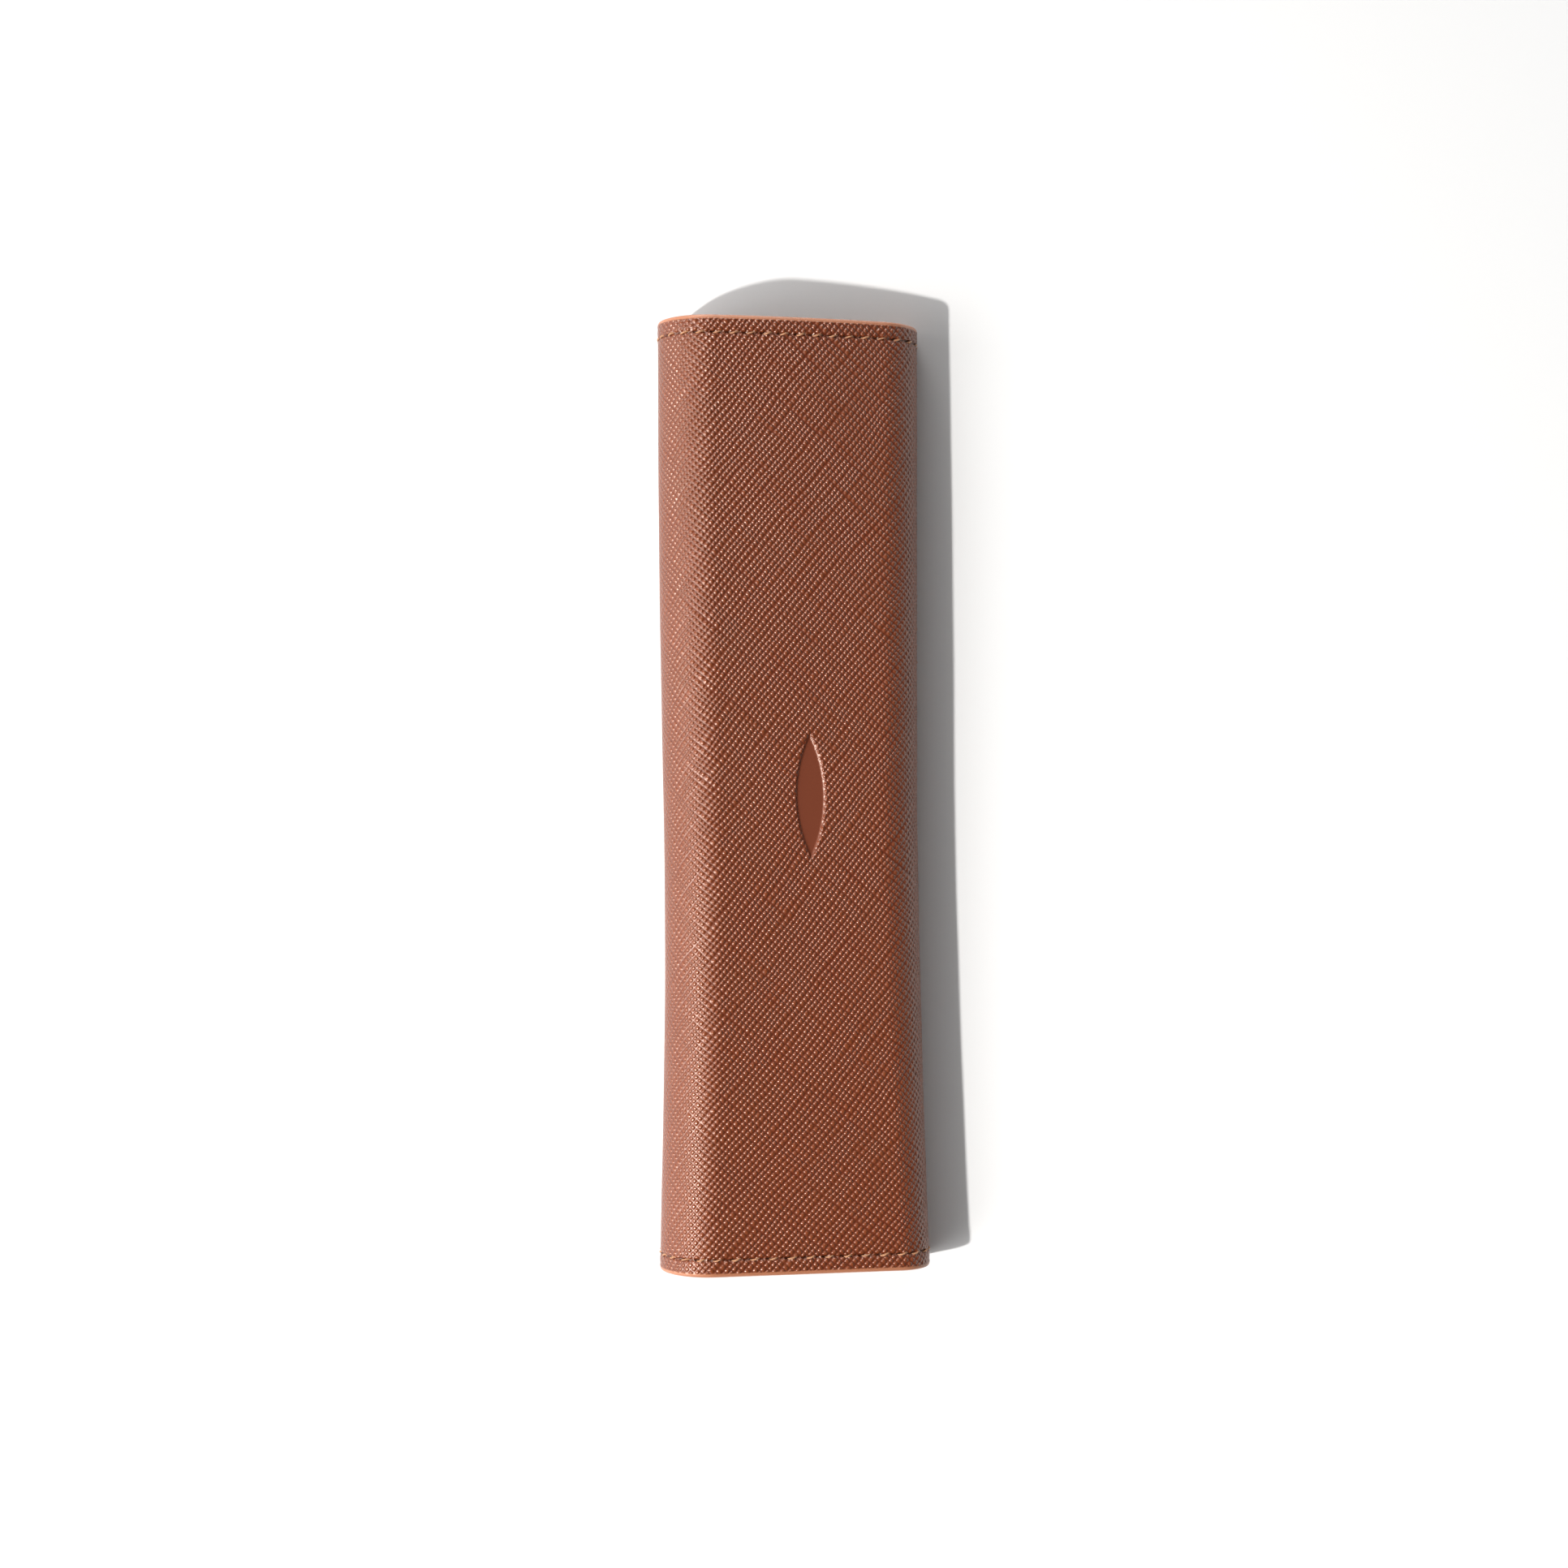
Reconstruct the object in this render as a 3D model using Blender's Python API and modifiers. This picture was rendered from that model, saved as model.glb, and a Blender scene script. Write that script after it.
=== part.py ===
"""Wrap-around leather case for two fountain pens.

A leather wrap with a rounded spine on the left, a sloping cover on top and a lip that comes down the
right side and closes on magnets hidden in a padded welt. Two soft sleeves and two elastic loops on the
base hold the pens. X is across the case, Y along the pens and Z up. Sizes are in metres.

The section of the wrap is five tangent pieces: flat base, lower spine arc, upper spine arc, sloping
cover and lip arc. Every layer of the wrap is the same section at its own depth under the outer face.
"""

from math import asin, cos, degrees, pi, radians, sin

import bmesh
import bpy
from mathutils import Matrix, Vector

# Overall sizes
CASE_LENGTH = 0.170
CASE_WIDTH = 0.0469
SPINE_HEIGHT = 0.0200
SPINE_RADIUS = 0.0090
LIP_RADIUS = 0.0081
COVER_SLOPE = radians(10.9)
LIP_EDGE_HEIGHT = 0.0008

# Layers of the wrap, from the outside in
LEATHER = 0.0010
CORE = 0.0008
LINING = 0.0004
GLUE = 0.0001
CORE_DEPTH = LEATHER + GLUE
LINING_DEPTH = CORE_DEPTH + CORE + GLUE
WALL = LINING_DEPTH + LINING

# Clearances and edges
FOLD_GAP = 0.0003
LINING_INSET = 0.0003
CORE_INSET = 0.0050
LIP_CLEARANCE = 0.0004

# Stitching
SEAM_INSET = 0.0032
LIP_SEAM_HEIGHT = 0.0028
THREAD_RADIUS = 0.0002
GROOVE_RADIUS = 0.0005

# Padded welt on the right of the base
WELT_CORE_HALF = 0.0009
WELT_LEATHER = 0.0005
WELT_SHOULDER = 0.0070
WELT_LENGTH = 0.156

# Bar magnets, three in the welt and three in the lip
MAGNET_LENGTH = 0.0200
MAGNET_HEIGHT = 0.0030
MAGNET_THICKNESS = 0.0008
MAGNET_Z = 0.0052
MAGNET_PITCH = 0.0520
MAGNET_COUNT = 3
POCKET_PLAY = 0.00005

# Pen sleeves and elastic loops: centre across the case, inner half height, half of the flat stretch
SLEEVES = {
    "left": (-0.0132, 0.0066, 0.0),
    "right": (0.0030, 0.0049, 0.0022),
}
SLEEVE_WALL = 0.0006
SLEEVE_FOOT_Y = -0.0800
SLEEVE_MOUTH_Y = 0.0380
SLEEVE_END = 0.0010
ELASTIC_WALL = 0.0007
ELASTIC_WIDTH = 0.0100
ELASTIC_Y = 0.0600

# Blind stamp in the cover: a plain pointed oval
STAMP_DEPTH = 0.00025
STAMP_HALF_LENGTH = 0.0110
STAMP_HALF_WIDTH = 0.0026
STAMP_X = 0.0035

ARC_STEP = radians(11.25)

# Centres of the section's arcs, as (x, z), from the overall sizes
LEFT_X = -CASE_WIDTH / 2
RIGHT_X = CASE_WIDTH / 2
LOWER_CENTRE = (LEFT_X + SPINE_RADIUS, SPINE_RADIUS)
UPPER_CENTRE = (LEFT_X + SPINE_RADIUS, SPINE_HEIGHT - SPINE_RADIUS)
COVER_NORMAL = (sin(COVER_SLOPE), cos(COVER_SLOPE))
COVER_DISTANCE = COVER_NORMAL[0] * UPPER_CENTRE[0] + COVER_NORMAL[1] * UPPER_CENTRE[1] + SPINE_RADIUS
LIP_CENTRE_X = RIGHT_X - LIP_RADIUS
LIP_CENTRE = (
    LIP_CENTRE_X,
    (COVER_DISTANCE - LIP_RADIUS - COVER_NORMAL[0] * LIP_CENTRE_X) / COVER_NORMAL[1],
)

# Directions of the arcs' ends and of the folds halfway along them
COVER_ANGLE = pi / 2 - COVER_SLOPE
LOWER_FOLD = radians(225)
UPPER_FOLD = (pi + COVER_ANGLE) / 2
LIP_FOLD = COVER_ANGLE / 2

BASE_RIGHT_X = RIGHT_X - WALL - LIP_CLEARANCE
WELT_X = BASE_RIGHT_X - WELT_LEATHER - GLUE - WELT_CORE_HALF


def clear_scene():
    for obj in list(bpy.data.objects):
        bpy.data.objects.remove(obj, do_unlink=True)


def new_collection(name):
    collection = bpy.data.collections.new(name)
    bpy.context.scene.collection.children.link(collection)
    return collection


def material(name, colour, roughness, metallic=0.0):
    made = bpy.data.materials.new(name)
    made.use_nodes = True
    shader = made.node_tree.nodes["Principled BSDF"]
    shader.inputs["Base Color"].default_value = (*colour, 1.0)
    shader.inputs["Roughness"].default_value = roughness
    shader.inputs["Metallic"].default_value = metallic
    return made


def arc(centre, radius, start, end):
    """Points (x, z) on an arc, at steps that are the same for every radius."""
    steps = max(2, round(abs(end - start) / ARC_STEP))
    angles = [start + (end - start) * i / steps for i in range(steps + 1)]
    return [(centre[0] + radius * cos(a), centre[1] + radius * sin(a)) for a in angles]


def unrolling_axis(centre, radius, start, end):
    """Where a fold's hinge axis lies, so that its arc of leather keeps its length when it is opened flat."""
    half = abs(end - start) / 2
    neutral = radius - LEATHER / 2
    distance = neutral * half / sin(half)
    middle = (start + end) / 2
    return Vector((centre[0] + distance * cos(middle), 0, centre[1] + distance * sin(middle)))


# Sections of the four parts of the wrap, at a depth under the outer face


def fold_trim(radius):
    return FOLD_GAP / 2 / radius


def base_section(depth, right_x=BASE_RIGHT_X):
    trim = fold_trim(SPINE_RADIUS)
    return [(right_x, depth)] + arc(LOWER_CENTRE, SPINE_RADIUS - depth, radians(270), LOWER_FOLD + trim)


def spine_section(depth):
    trim = fold_trim(SPINE_RADIUS)
    lower = arc(LOWER_CENTRE, SPINE_RADIUS - depth, LOWER_FOLD - trim, pi)
    return lower + arc(UPPER_CENTRE, SPINE_RADIUS - depth, pi, UPPER_FOLD + trim)


def cover_section(depth):
    upper = arc(UPPER_CENTRE, SPINE_RADIUS - depth, UPPER_FOLD - fold_trim(SPINE_RADIUS), COVER_ANGLE)
    return upper + arc(LIP_CENTRE, LIP_RADIUS - depth, COVER_ANGLE, LIP_FOLD + fold_trim(LIP_RADIUS))


def lip_section(depth, low_z=LIP_EDGE_HEIGHT, top_angle=None):
    start = LIP_FOLD - fold_trim(LIP_RADIUS) if top_angle is None else top_angle
    return arc(LIP_CENTRE, LIP_RADIUS - depth, start, 0) + [(RIGHT_X - depth, low_z)]


def cover_core_section(depth):
    """The flat stretch of the cover, a little short of both arcs."""
    left = arc(UPPER_CENTRE, SPINE_RADIUS - depth, pi, COVER_ANGLE)[-1]
    right = arc(LIP_CENTRE, LIP_RADIUS - depth, COVER_ANGLE, 0)[0]
    along = Vector((right[0] - left[0], right[1] - left[1])).normalized() * 0.0006
    return [(left[0] + along.x, left[1] + along.y), (right[0] - along.x, right[1] - along.y)]


def stadium(centre_x, centre_z, radius, flat_half):
    """A closed outline of two half circles and the flats between them, turning clockwise."""
    left = arc((centre_x - flat_half, centre_z), radius, radians(270), radians(90))
    right = arc((centre_x + flat_half, centre_z), radius, radians(90), radians(-90))
    outline = left + right
    corners = [p for i, p in enumerate(outline) if (Vector(p) - Vector(outline[i - 1])).length > 1e-6]
    return corners


# Solids


class Builder:
    """Makes each piece in its collection, on the parent that carries it."""

    def __init__(self):
        self.pieces = new_collection("fountain_pen_case")
        self.cutters = new_collection("cutters")
        self.leather = material("saffiano_leather", (0.33, 0.115, 0.065), 0.42)
        self.suede = material("suede_lining", (0.30, 0.17, 0.10), 0.95)
        self.board = material("salpa_board", (0.45, 0.36, 0.26), 0.9)
        self.fleece = material("fleece_padding", (0.62, 0.58, 0.52), 1.0)
        self.thread = material("waxed_thread", (0.36, 0.17, 0.08), 0.6)
        self.magnet = material("nickel_magnet", (0.72, 0.72, 0.70), 0.25, 1.0)
        self.elastic = material("woven_elastic", (0.10, 0.05, 0.035), 0.85)

    def axis(self, name, location, parent=None):
        empty = bpy.data.objects.new(name, None)
        empty.empty_display_size = 0.01
        self.pieces.objects.link(empty)
        if parent is not None:
            empty.parent = parent
            empty.location = Vector(location) - parent.matrix_world.translation
        else:
            empty.location = location
        bpy.context.view_layer.update()
        return empty

    def add(self, name, mesh, look, parent):
        """The mesh, whose points are in the case's frame, as a piece whose origin is on its parent's axis."""
        obj = bpy.data.objects.new(name, mesh)
        self.pieces.objects.link(obj)
        mesh.materials.append(look)
        mesh.shade_smooth()
        mesh.set_sharp_from_angle(angle=radians(30))
        if parent is not None:
            mesh.transform(Matrix.Translation(-parent.matrix_world.translation))
            obj.parent = parent
        return obj

    def sheet(self, name, section, thickness, y_range, look, parent, closed=False):
        """A sheet of even thickness: the section swept along Y and thickened towards its right-hand side.

        Each section runs clockwise, seen from the foot of the case, so the thickness goes inwards.
        """
        bm = bmesh.new()
        start, end = y_range
        rows = [[bm.verts.new((x, y, z)) for x, z in section] for y in (start, end)]
        last = len(section) if closed else len(section) - 1
        for i in range(last):
            j = (i + 1) % len(section)
            bm.faces.new((rows[0][i], rows[0][j], rows[1][j], rows[1][i]))
        mesh = bpy.data.meshes.new(name)
        bm.to_mesh(mesh)
        bm.free()
        obj = self.add(name, mesh, look, parent)
        solid = obj.modifiers.new("thickness", "SOLIDIFY")
        solid.thickness = thickness
        solid.offset = -1
        solid.use_even_offset = True
        return obj

    def plate(self, name, outline, y_range, look, parent):
        """A flat outline in XZ, extruded along Y."""
        curve = bpy.data.curves.new(name, "CURVE")
        curve.dimensions = "2D"
        curve.fill_mode = "BOTH"
        curve.extrude = (y_range[1] - y_range[0]) / 2
        spline = curve.splines.new("POLY")
        spline.points.add(len(outline) - 1)
        for point, (x, z) in zip(spline.points, outline):
            point.co = (x, z, 0, 1)
        spline.use_cyclic_u = True
        upright = Matrix.Translation((0, (y_range[0] + y_range[1]) / 2, 0)) @ Matrix.Rotation(pi / 2, 4, "X")
        return self.add(name, self.curve_mesh(name, curve, upright), look, parent)

    def curve_mesh(self, name, curve, matrix=None):
        """A curve's evaluated mesh with its caps welded on. The curve is removed."""
        source = bpy.data.objects.new(name + "_curve", curve)
        self.cutters.objects.link(source)
        bpy.context.view_layer.update()
        graph = bpy.context.evaluated_depsgraph_get()
        mesh = bpy.data.meshes.new_from_object(source.evaluated_get(graph))
        bpy.data.objects.remove(source)
        bpy.data.curves.remove(curve)
        bm = bmesh.new()
        bm.from_mesh(mesh)
        bmesh.ops.remove_doubles(bm, verts=bm.verts, dist=1e-7)
        bmesh.ops.recalc_face_normals(bm, faces=bm.faces)
        bm.to_mesh(mesh)
        bm.free()
        if matrix is not None:
            mesh.transform(matrix)
        mesh.name = name
        mesh.materials.clear()
        return mesh

    def cord(self, name, route, radius):
        """The mesh of a round thread along a route."""
        curve = bpy.data.curves.new(name, "CURVE")
        curve.dimensions = "3D"
        curve.bevel_depth = radius
        curve.bevel_resolution = 1
        curve.use_fill_caps = True
        spline = curve.splines.new("POLY")
        spline.points.add(len(route) - 1)
        for point, place in zip(spline.points, route):
            point.co = (*place, 1)
        return self.curve_mesh(name, curve)

    def box(self, name, centre, size):
        """A box's mesh, in the case's frame."""
        bm = bmesh.new()
        bmesh.ops.create_cube(bm, size=1, matrix=Matrix.Translation(centre) @ Matrix.Diagonal((*size, 1)))
        mesh = bpy.data.meshes.new(name)
        bm.to_mesh(mesh)
        bm.free()
        return mesh

    def cut(self, target, name, mesh):
        """Cuts a shape, given in the case's frame, from a piece."""
        cutter = bpy.data.objects.new(name, mesh)
        self.cutters.objects.link(cutter)
        cutter.hide_render = True
        cutter.display_type = "WIRE"
        boolean = target.modifiers.new(name, "BOOLEAN")
        boolean.operation = "DIFFERENCE"
        boolean.solver = "EXACT"
        boolean.object = cutter

    def seam(self, name, piece, route, parent):
        """A row of stitching: a groove in the leather and the thread that lies flush in it."""
        for side, path in route.items():
            self.cut(piece, f"{name}_{side}_groove", self.cord(f"{name}_{side}_groove", path[0], GROOVE_RADIUS))
            self.add(
                f"{name}_{side}_thread",
                self.cord(f"{name}_{side}_thread", path[1], THREAD_RADIUS),
                self.thread,
                parent,
            )


def end_seams(section, past=0.002):
    """Routes of the two end seams round a section: groove on the outer face, thread one radius under it."""
    routes = {}
    for side, y in (("head", CASE_LENGTH / 2 - SEAM_INSET), ("foot", SEAM_INSET - CASE_LENGTH / 2)):
        groove = [Vector((x, y, z)) for x, z in section(0)]
        groove[0] += (groove[0] - groove[1]).normalized() * past
        groove[-1] += (groove[-1] - groove[-2]).normalized() * past
        thread = [Vector((x, y, z)) for x, z in section(THREAD_RADIUS)]
        thread[0] += (thread[1] - thread[0]).normalized() * THREAD_RADIUS
        thread[-1] += (thread[-2] - thread[-1]).normalized() * THREAD_RADIUS
        routes[side] = (groove, thread)
    return routes


def leather_length():
    return (-CASE_LENGTH / 2, CASE_LENGTH / 2)


def inset_length(inset):
    return (inset - CASE_LENGTH / 2, CASE_LENGTH / 2 - inset)


def make_base(build):
    """The panel that lies on the table, with its board and its suede lining."""
    leather = build.sheet("base_leather", base_section(0), LEATHER, leather_length(), build.leather, None)
    build.seam("base", leather, end_seams(base_section), None)
    board = [(BASE_RIGHT_X - 0.001, CORE_DEPTH), (LOWER_CENTRE[0] + 0.0005, CORE_DEPTH)]
    build.sheet("base_board", board, CORE, inset_length(CORE_INSET), build.board, None)
    lining = base_section(LINING_DEPTH)
    build.sheet("base_lining", lining, LINING, inset_length(LINING_INSET), build.suede, None)


def make_welt(build):
    """The padded strip at the base's right edge: a board core in a leather cover, with magnets let in."""
    foot = WALL + GLUE
    half = WELT_CORE_HALF
    top = arc((WELT_X, WELT_SHOULDER), half, 0, pi)
    outline = [(WELT_X + half, foot)] + top + [(WELT_X - half, foot)]
    ends = (-WELT_LENGTH / 2, WELT_LENGTH / 2)
    core = build.plate("welt_core", outline, ends, build.board, None)
    radius = half + GLUE + WELT_LEATHER
    bend = arc((WELT_X, WELT_SHOULDER), radius, pi, 0)
    cover = [(WELT_X - radius, foot)] + bend + [(WELT_X + radius, foot)]
    build.sheet("welt_cover", cover, WELT_LEATHER, ends, build.leather, None)
    face_x = WELT_X + half
    for index, y in enumerate(magnet_places(), start=1):
        centre = (face_x - MAGNET_THICKNESS / 2 - POCKET_PLAY, y, MAGNET_Z)
        add_magnet(build, f"welt_magnet_{index}", centre, None)
        pocket = build.box(f"welt_pocket_{index}", centre, pocket_size())
        build.cut(core, f"welt_pocket_{index}", pocket)


def magnet_places():
    first = -MAGNET_PITCH * (MAGNET_COUNT - 1) / 2
    return [first + MAGNET_PITCH * i for i in range(MAGNET_COUNT)]


def pocket_size():
    """A magnet's size with play all round, and open across the thickness."""
    play = 2 * POCKET_PLAY
    return (MAGNET_THICKNESS + 4 * POCKET_PLAY, MAGNET_LENGTH + play, MAGNET_HEIGHT + play)


def add_magnet(build, name, centre, parent):
    size = (MAGNET_THICKNESS, MAGNET_LENGTH, MAGNET_HEIGHT)
    magnet = build.add(name, build.box(name, centre, size), build.magnet, parent)
    bevel = magnet.modifiers.new("edge", "BEVEL")
    bevel.width = 0.00015
    bevel.segments = 1


def make_sleeves(build):
    """Two suede sleeves with leather feet, the threads that hold them down, and two elastic loops."""
    for side, (x, radius, flat) in SLEEVES.items():
        outer = radius + SLEEVE_WALL
        z = WALL + GLUE + outer
        span = (SLEEVE_FOOT_Y, SLEEVE_MOUTH_Y)
        outline = stadium(x, z, outer, flat)
        build.sheet(f"{side}_sleeve", outline, SLEEVE_WALL, span, build.suede, None, closed=True)
        foot = (SLEEVE_FOOT_Y + SLEEVE_END, SLEEVE_FOOT_Y + 2 * SLEEVE_END)
        end = stadium(x, z, radius - GLUE, flat)
        build.plate(f"{side}_sleeve_foot", end, foot, build.leather, None)
        seam_z = z - radius + GLUE + THREAD_RADIUS
        route = [(x, foot[1] + 0.001, seam_z), (x, SLEEVE_MOUTH_Y - 0.002, seam_z)]
        thread = build.cord(f"{side}_sleeve_thread", route, THREAD_RADIUS)
        build.add(f"{side}_sleeve_thread", thread, build.thread, None)
        loop = stadium(x, z, outer, flat)
        band = (ELASTIC_Y - ELASTIC_WIDTH / 2, ELASTIC_Y + ELASTIC_WIDTH / 2)
        build.sheet(f"{side}_elastic_loop", loop, ELASTIC_WALL, band, build.elastic, None, closed=True)


def make_spine(build, parent):
    """The rounded spine between the two folds: leather, fleece padding and lining."""
    leather = build.sheet("spine_leather", spine_section(0), LEATHER, leather_length(), build.leather, parent)
    build.seam("spine", leather, end_seams(spine_section), parent)
    fleece = spine_section(CORE_DEPTH)
    build.sheet("spine_fleece", fleece, CORE, inset_length(CORE_INSET), build.fleece, parent)
    lining = spine_section(LINING_DEPTH)
    build.sheet("spine_lining", lining, LINING, inset_length(LINING_INSET), build.suede, parent)


def pointed_oval(half_length, half_width):
    """Points of a plain blank mark: two arcs that meet in a point at each end."""
    radius = (half_length**2 + half_width**2) / (2 * half_width)
    reach = asin(half_length / radius)
    right = arc((half_width - radius, 0), radius, -reach, reach)
    left = arc((radius - half_width, 0), radius, pi - reach, pi + reach)
    return right + left[1:-1]


def stamp_cutter(build):
    """The mark as a shallow block let into the cover's sloping face."""
    curve = bpy.data.curves.new("blind_stamp", "CURVE")
    curve.dimensions = "2D"
    curve.fill_mode = "BOTH"
    curve.extrude = STAMP_DEPTH
    outline = pointed_oval(STAMP_HALF_LENGTH, STAMP_HALF_WIDTH)
    spline = curve.splines.new("POLY")
    spline.points.add(len(outline) - 1)
    for point, (x, y) in zip(spline.points, outline):
        point.co = (x, y, 0, 1)
    spline.use_cyclic_u = True
    height = (COVER_DISTANCE - COVER_NORMAL[0] * STAMP_X) / COVER_NORMAL[1]
    place = Matrix.Translation((STAMP_X, 0, height)) @ Matrix.Rotation(COVER_SLOPE, 4, "Y")
    return build.curve_mesh("blind_stamp", curve, place)


def make_cover(build, parent):
    """The sloping cover: stamped leather, board and lining."""
    leather = build.sheet("cover_leather", cover_section(0), LEATHER, leather_length(), build.leather, parent)
    build.seam("cover", leather, end_seams(cover_section), parent)
    build.cut(leather, "blind_stamp", stamp_cutter(build))
    board = cover_core_section(CORE_DEPTH)
    build.sheet("cover_board", board, CORE, inset_length(CORE_INSET), build.board, parent)
    lining = cover_section(LINING_DEPTH)
    build.sheet("cover_lining", lining, LINING, inset_length(LINING_INSET), build.suede, parent)


def lip_edge_seam():
    """Route of the seam along the lip's lower edge, between the two end seams."""
    end = CASE_LENGTH / 2 - SEAM_INSET - 2 * GROOVE_RADIUS
    groove = [Vector((RIGHT_X, y, LIP_SEAM_HEIGHT)) for y in (-end, end)]
    inset = RIGHT_X - THREAD_RADIUS
    reach = end - THREAD_RADIUS
    thread = [Vector((inset, y, LIP_SEAM_HEIGHT)) for y in (-reach, reach)]
    return {"edge": (groove, thread)}


def make_lip(build, parent):
    """The closing lip: leather, a stiffener that holds three magnets, and lining."""
    leather = build.sheet("lip_leather", lip_section(0), LEATHER, leather_length(), build.leather, parent)
    build.seam("lip", leather, end_seams(lip_section) | lip_edge_seam(), parent)
    strip = lip_section(CORE_DEPTH, low_z=LIP_SEAM_HEIGHT + GROOVE_RADIUS, top_angle=radians(20))
    stiffener = build.sheet("lip_stiffener", strip, CORE, inset_length(CORE_INSET), build.board, parent)
    x = RIGHT_X - CORE_DEPTH - CORE / 2
    for index, y in enumerate(magnet_places(), start=1):
        centre = (x, y, MAGNET_Z)
        add_magnet(build, f"lip_magnet_{index}", centre, parent)
        slot = build.box(f"lip_slot_{index}", centre, (3 * CORE, *pocket_size()[1:]))
        build.cut(stiffener, f"lip_slot_{index}", slot)
    lining = lip_section(LINING_DEPTH, low_z=LIP_EDGE_HEIGHT + LINING_INSET)
    build.sheet("lip_lining", lining, LINING, inset_length(LINING_INSET), build.suede, parent)


def main():
    clear_scene()
    build = Builder()
    spine_axis = build.axis("spine_fold_axis", unrolling_axis(LOWER_CENTRE, SPINE_RADIUS, radians(270), pi))
    upper = unrolling_axis(UPPER_CENTRE, SPINE_RADIUS, pi, COVER_ANGLE)
    cover_axis = build.axis("cover_fold_axis", upper, spine_axis)
    lip_axis = build.axis("lip_fold_axis", unrolling_axis(LIP_CENTRE, LIP_RADIUS, COVER_ANGLE, 0), cover_axis)
    make_base(build)
    make_welt(build)
    make_sleeves(build)
    make_spine(build, spine_axis)
    make_cover(build, cover_axis)
    make_lip(build, lip_axis)
    for name, axis in (("spine", spine_axis), ("cover", cover_axis), ("lip", lip_axis)):
        place = axis.matrix_world.translation
        print(f"{name} fold axis x {place.x:.6f} z {place.z:.6f}")
    print(f"cover opens {degrees(pi - COVER_ANGLE):.3f} degrees, lip {degrees(COVER_ANGLE):.3f}")


main()
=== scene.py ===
"""Looks of a wrap-around leather case for two fountain pens, built round its fixed frame.

X is across the case from the spine to the closing lip, Y along the pens and Z up, in metres. The wrap is
laid out on two measures: the girth, which runs from the base's free edge under the case, up round the
spine, over the cover and down the lip, and the length, which is Y. Skin, padding, boards and lining are
all sheets at their own depth under the same outer face, so each is made by the same functions.
"""

import math

import bpy
import numpy as np
from bpy.props import FloatProperty, FloatVectorProperty, IntProperty, PointerProperty
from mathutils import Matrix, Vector


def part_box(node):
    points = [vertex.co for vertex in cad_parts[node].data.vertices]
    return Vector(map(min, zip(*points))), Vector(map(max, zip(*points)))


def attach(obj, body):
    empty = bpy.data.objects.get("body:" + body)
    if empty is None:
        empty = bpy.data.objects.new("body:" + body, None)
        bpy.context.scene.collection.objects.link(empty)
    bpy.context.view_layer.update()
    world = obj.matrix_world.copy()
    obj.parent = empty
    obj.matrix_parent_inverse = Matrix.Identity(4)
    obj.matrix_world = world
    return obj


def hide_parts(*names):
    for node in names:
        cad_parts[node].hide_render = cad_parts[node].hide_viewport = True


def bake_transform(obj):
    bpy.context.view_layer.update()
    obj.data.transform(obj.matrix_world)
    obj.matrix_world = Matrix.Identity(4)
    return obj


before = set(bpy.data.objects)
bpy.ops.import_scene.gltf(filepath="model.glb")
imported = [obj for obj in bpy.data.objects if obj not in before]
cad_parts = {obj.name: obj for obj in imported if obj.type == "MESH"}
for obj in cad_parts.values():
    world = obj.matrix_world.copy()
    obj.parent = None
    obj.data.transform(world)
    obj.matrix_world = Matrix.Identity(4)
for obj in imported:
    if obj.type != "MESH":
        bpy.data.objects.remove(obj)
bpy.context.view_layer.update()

bl_info = {
    "name": "Leather Pen Case",
    "version": (1, 0, 0),
    "blender": (4, 5, 0),
    "location": "3D View > Sidebar > Pen Case",
    "description": "Builds the leather wrap, seams, lining, sleeves and loops of a pen case on its frame",
    "category": "Object",
}

MM = 0.001
HALF_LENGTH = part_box("cover_leather")[1].y
LEFT_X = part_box("spine_leather")[0].x
RIGHT_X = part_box("lip_leather")[1].x
TOP_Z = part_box("cover_leather")[1].z
BASE_EDGE_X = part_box("base_leather")[1].x
LIP_EDGE_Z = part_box("lip_leather")[0].z
WELT_LOW, WELT_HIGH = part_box("welt_cover")

CORNER_SPINE_RADIUS = 9.0 * MM
CORNER_LIP_RADIUS = 8.1 * MM
LIP_CENTRE_Z = 6.2 * MM

# How far the leather and its stitches are drawn in where the case rests on its underside
UNDERSIDE_CLEARANCE = 0.14 * MM
UNDERSIDE_STITCHES = 0.27 * MM

# How far in from the wrap's ends the leather is turned in and thick
END_FOLD = 3.9 * MM

# How far layers and seams stay back from the wrap's ends and from its long edges
LINING_END_GAP = 0.5 * MM
LINING_EDGE_GAP = 0.3 * MM
BOARD_END_GAP = 5.5 * MM
SEAM_EDGE_GAP = 1.5 * MM

HEM_PITCH = 2.4 * MM
LOOP_PITCH = 2.2 * MM
LOOP_WALL = 0.7 * MM
WELT_WALL = 0.4 * MM
WELT_OVERHANG = 0.9 * MM
WELT_END_RADIUS = 1.2 * MM
GRAIN_RISING = math.radians(-40)
GRAIN_FALLING = math.radians(50)


def colour(name, description, value):
    return FloatVectorProperty(
        name=name, description=description, default=value, subtype="COLOR", min=0.0, max=1.0, size=3
    )


def length(name, description, value):
    return FloatProperty(name=name, description=description, default=value, unit="LENGTH", precision=5)


def share(name, description, value):
    return FloatProperty(
        name=name, description=description, default=value, min=0.0, max=1.0, subtype="FACTOR"
    )


def amount(name, description, value):
    return FloatProperty(name=name, description=description, default=value, min=0.0)


def angle(name, description, value):
    return FloatProperty(name=name, description=description, default=math.radians(value), subtype="ANGLE")


def toward(name, description, value):
    return FloatVectorProperty(name=name, description=description, default=value, subtype="DIRECTION")


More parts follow.
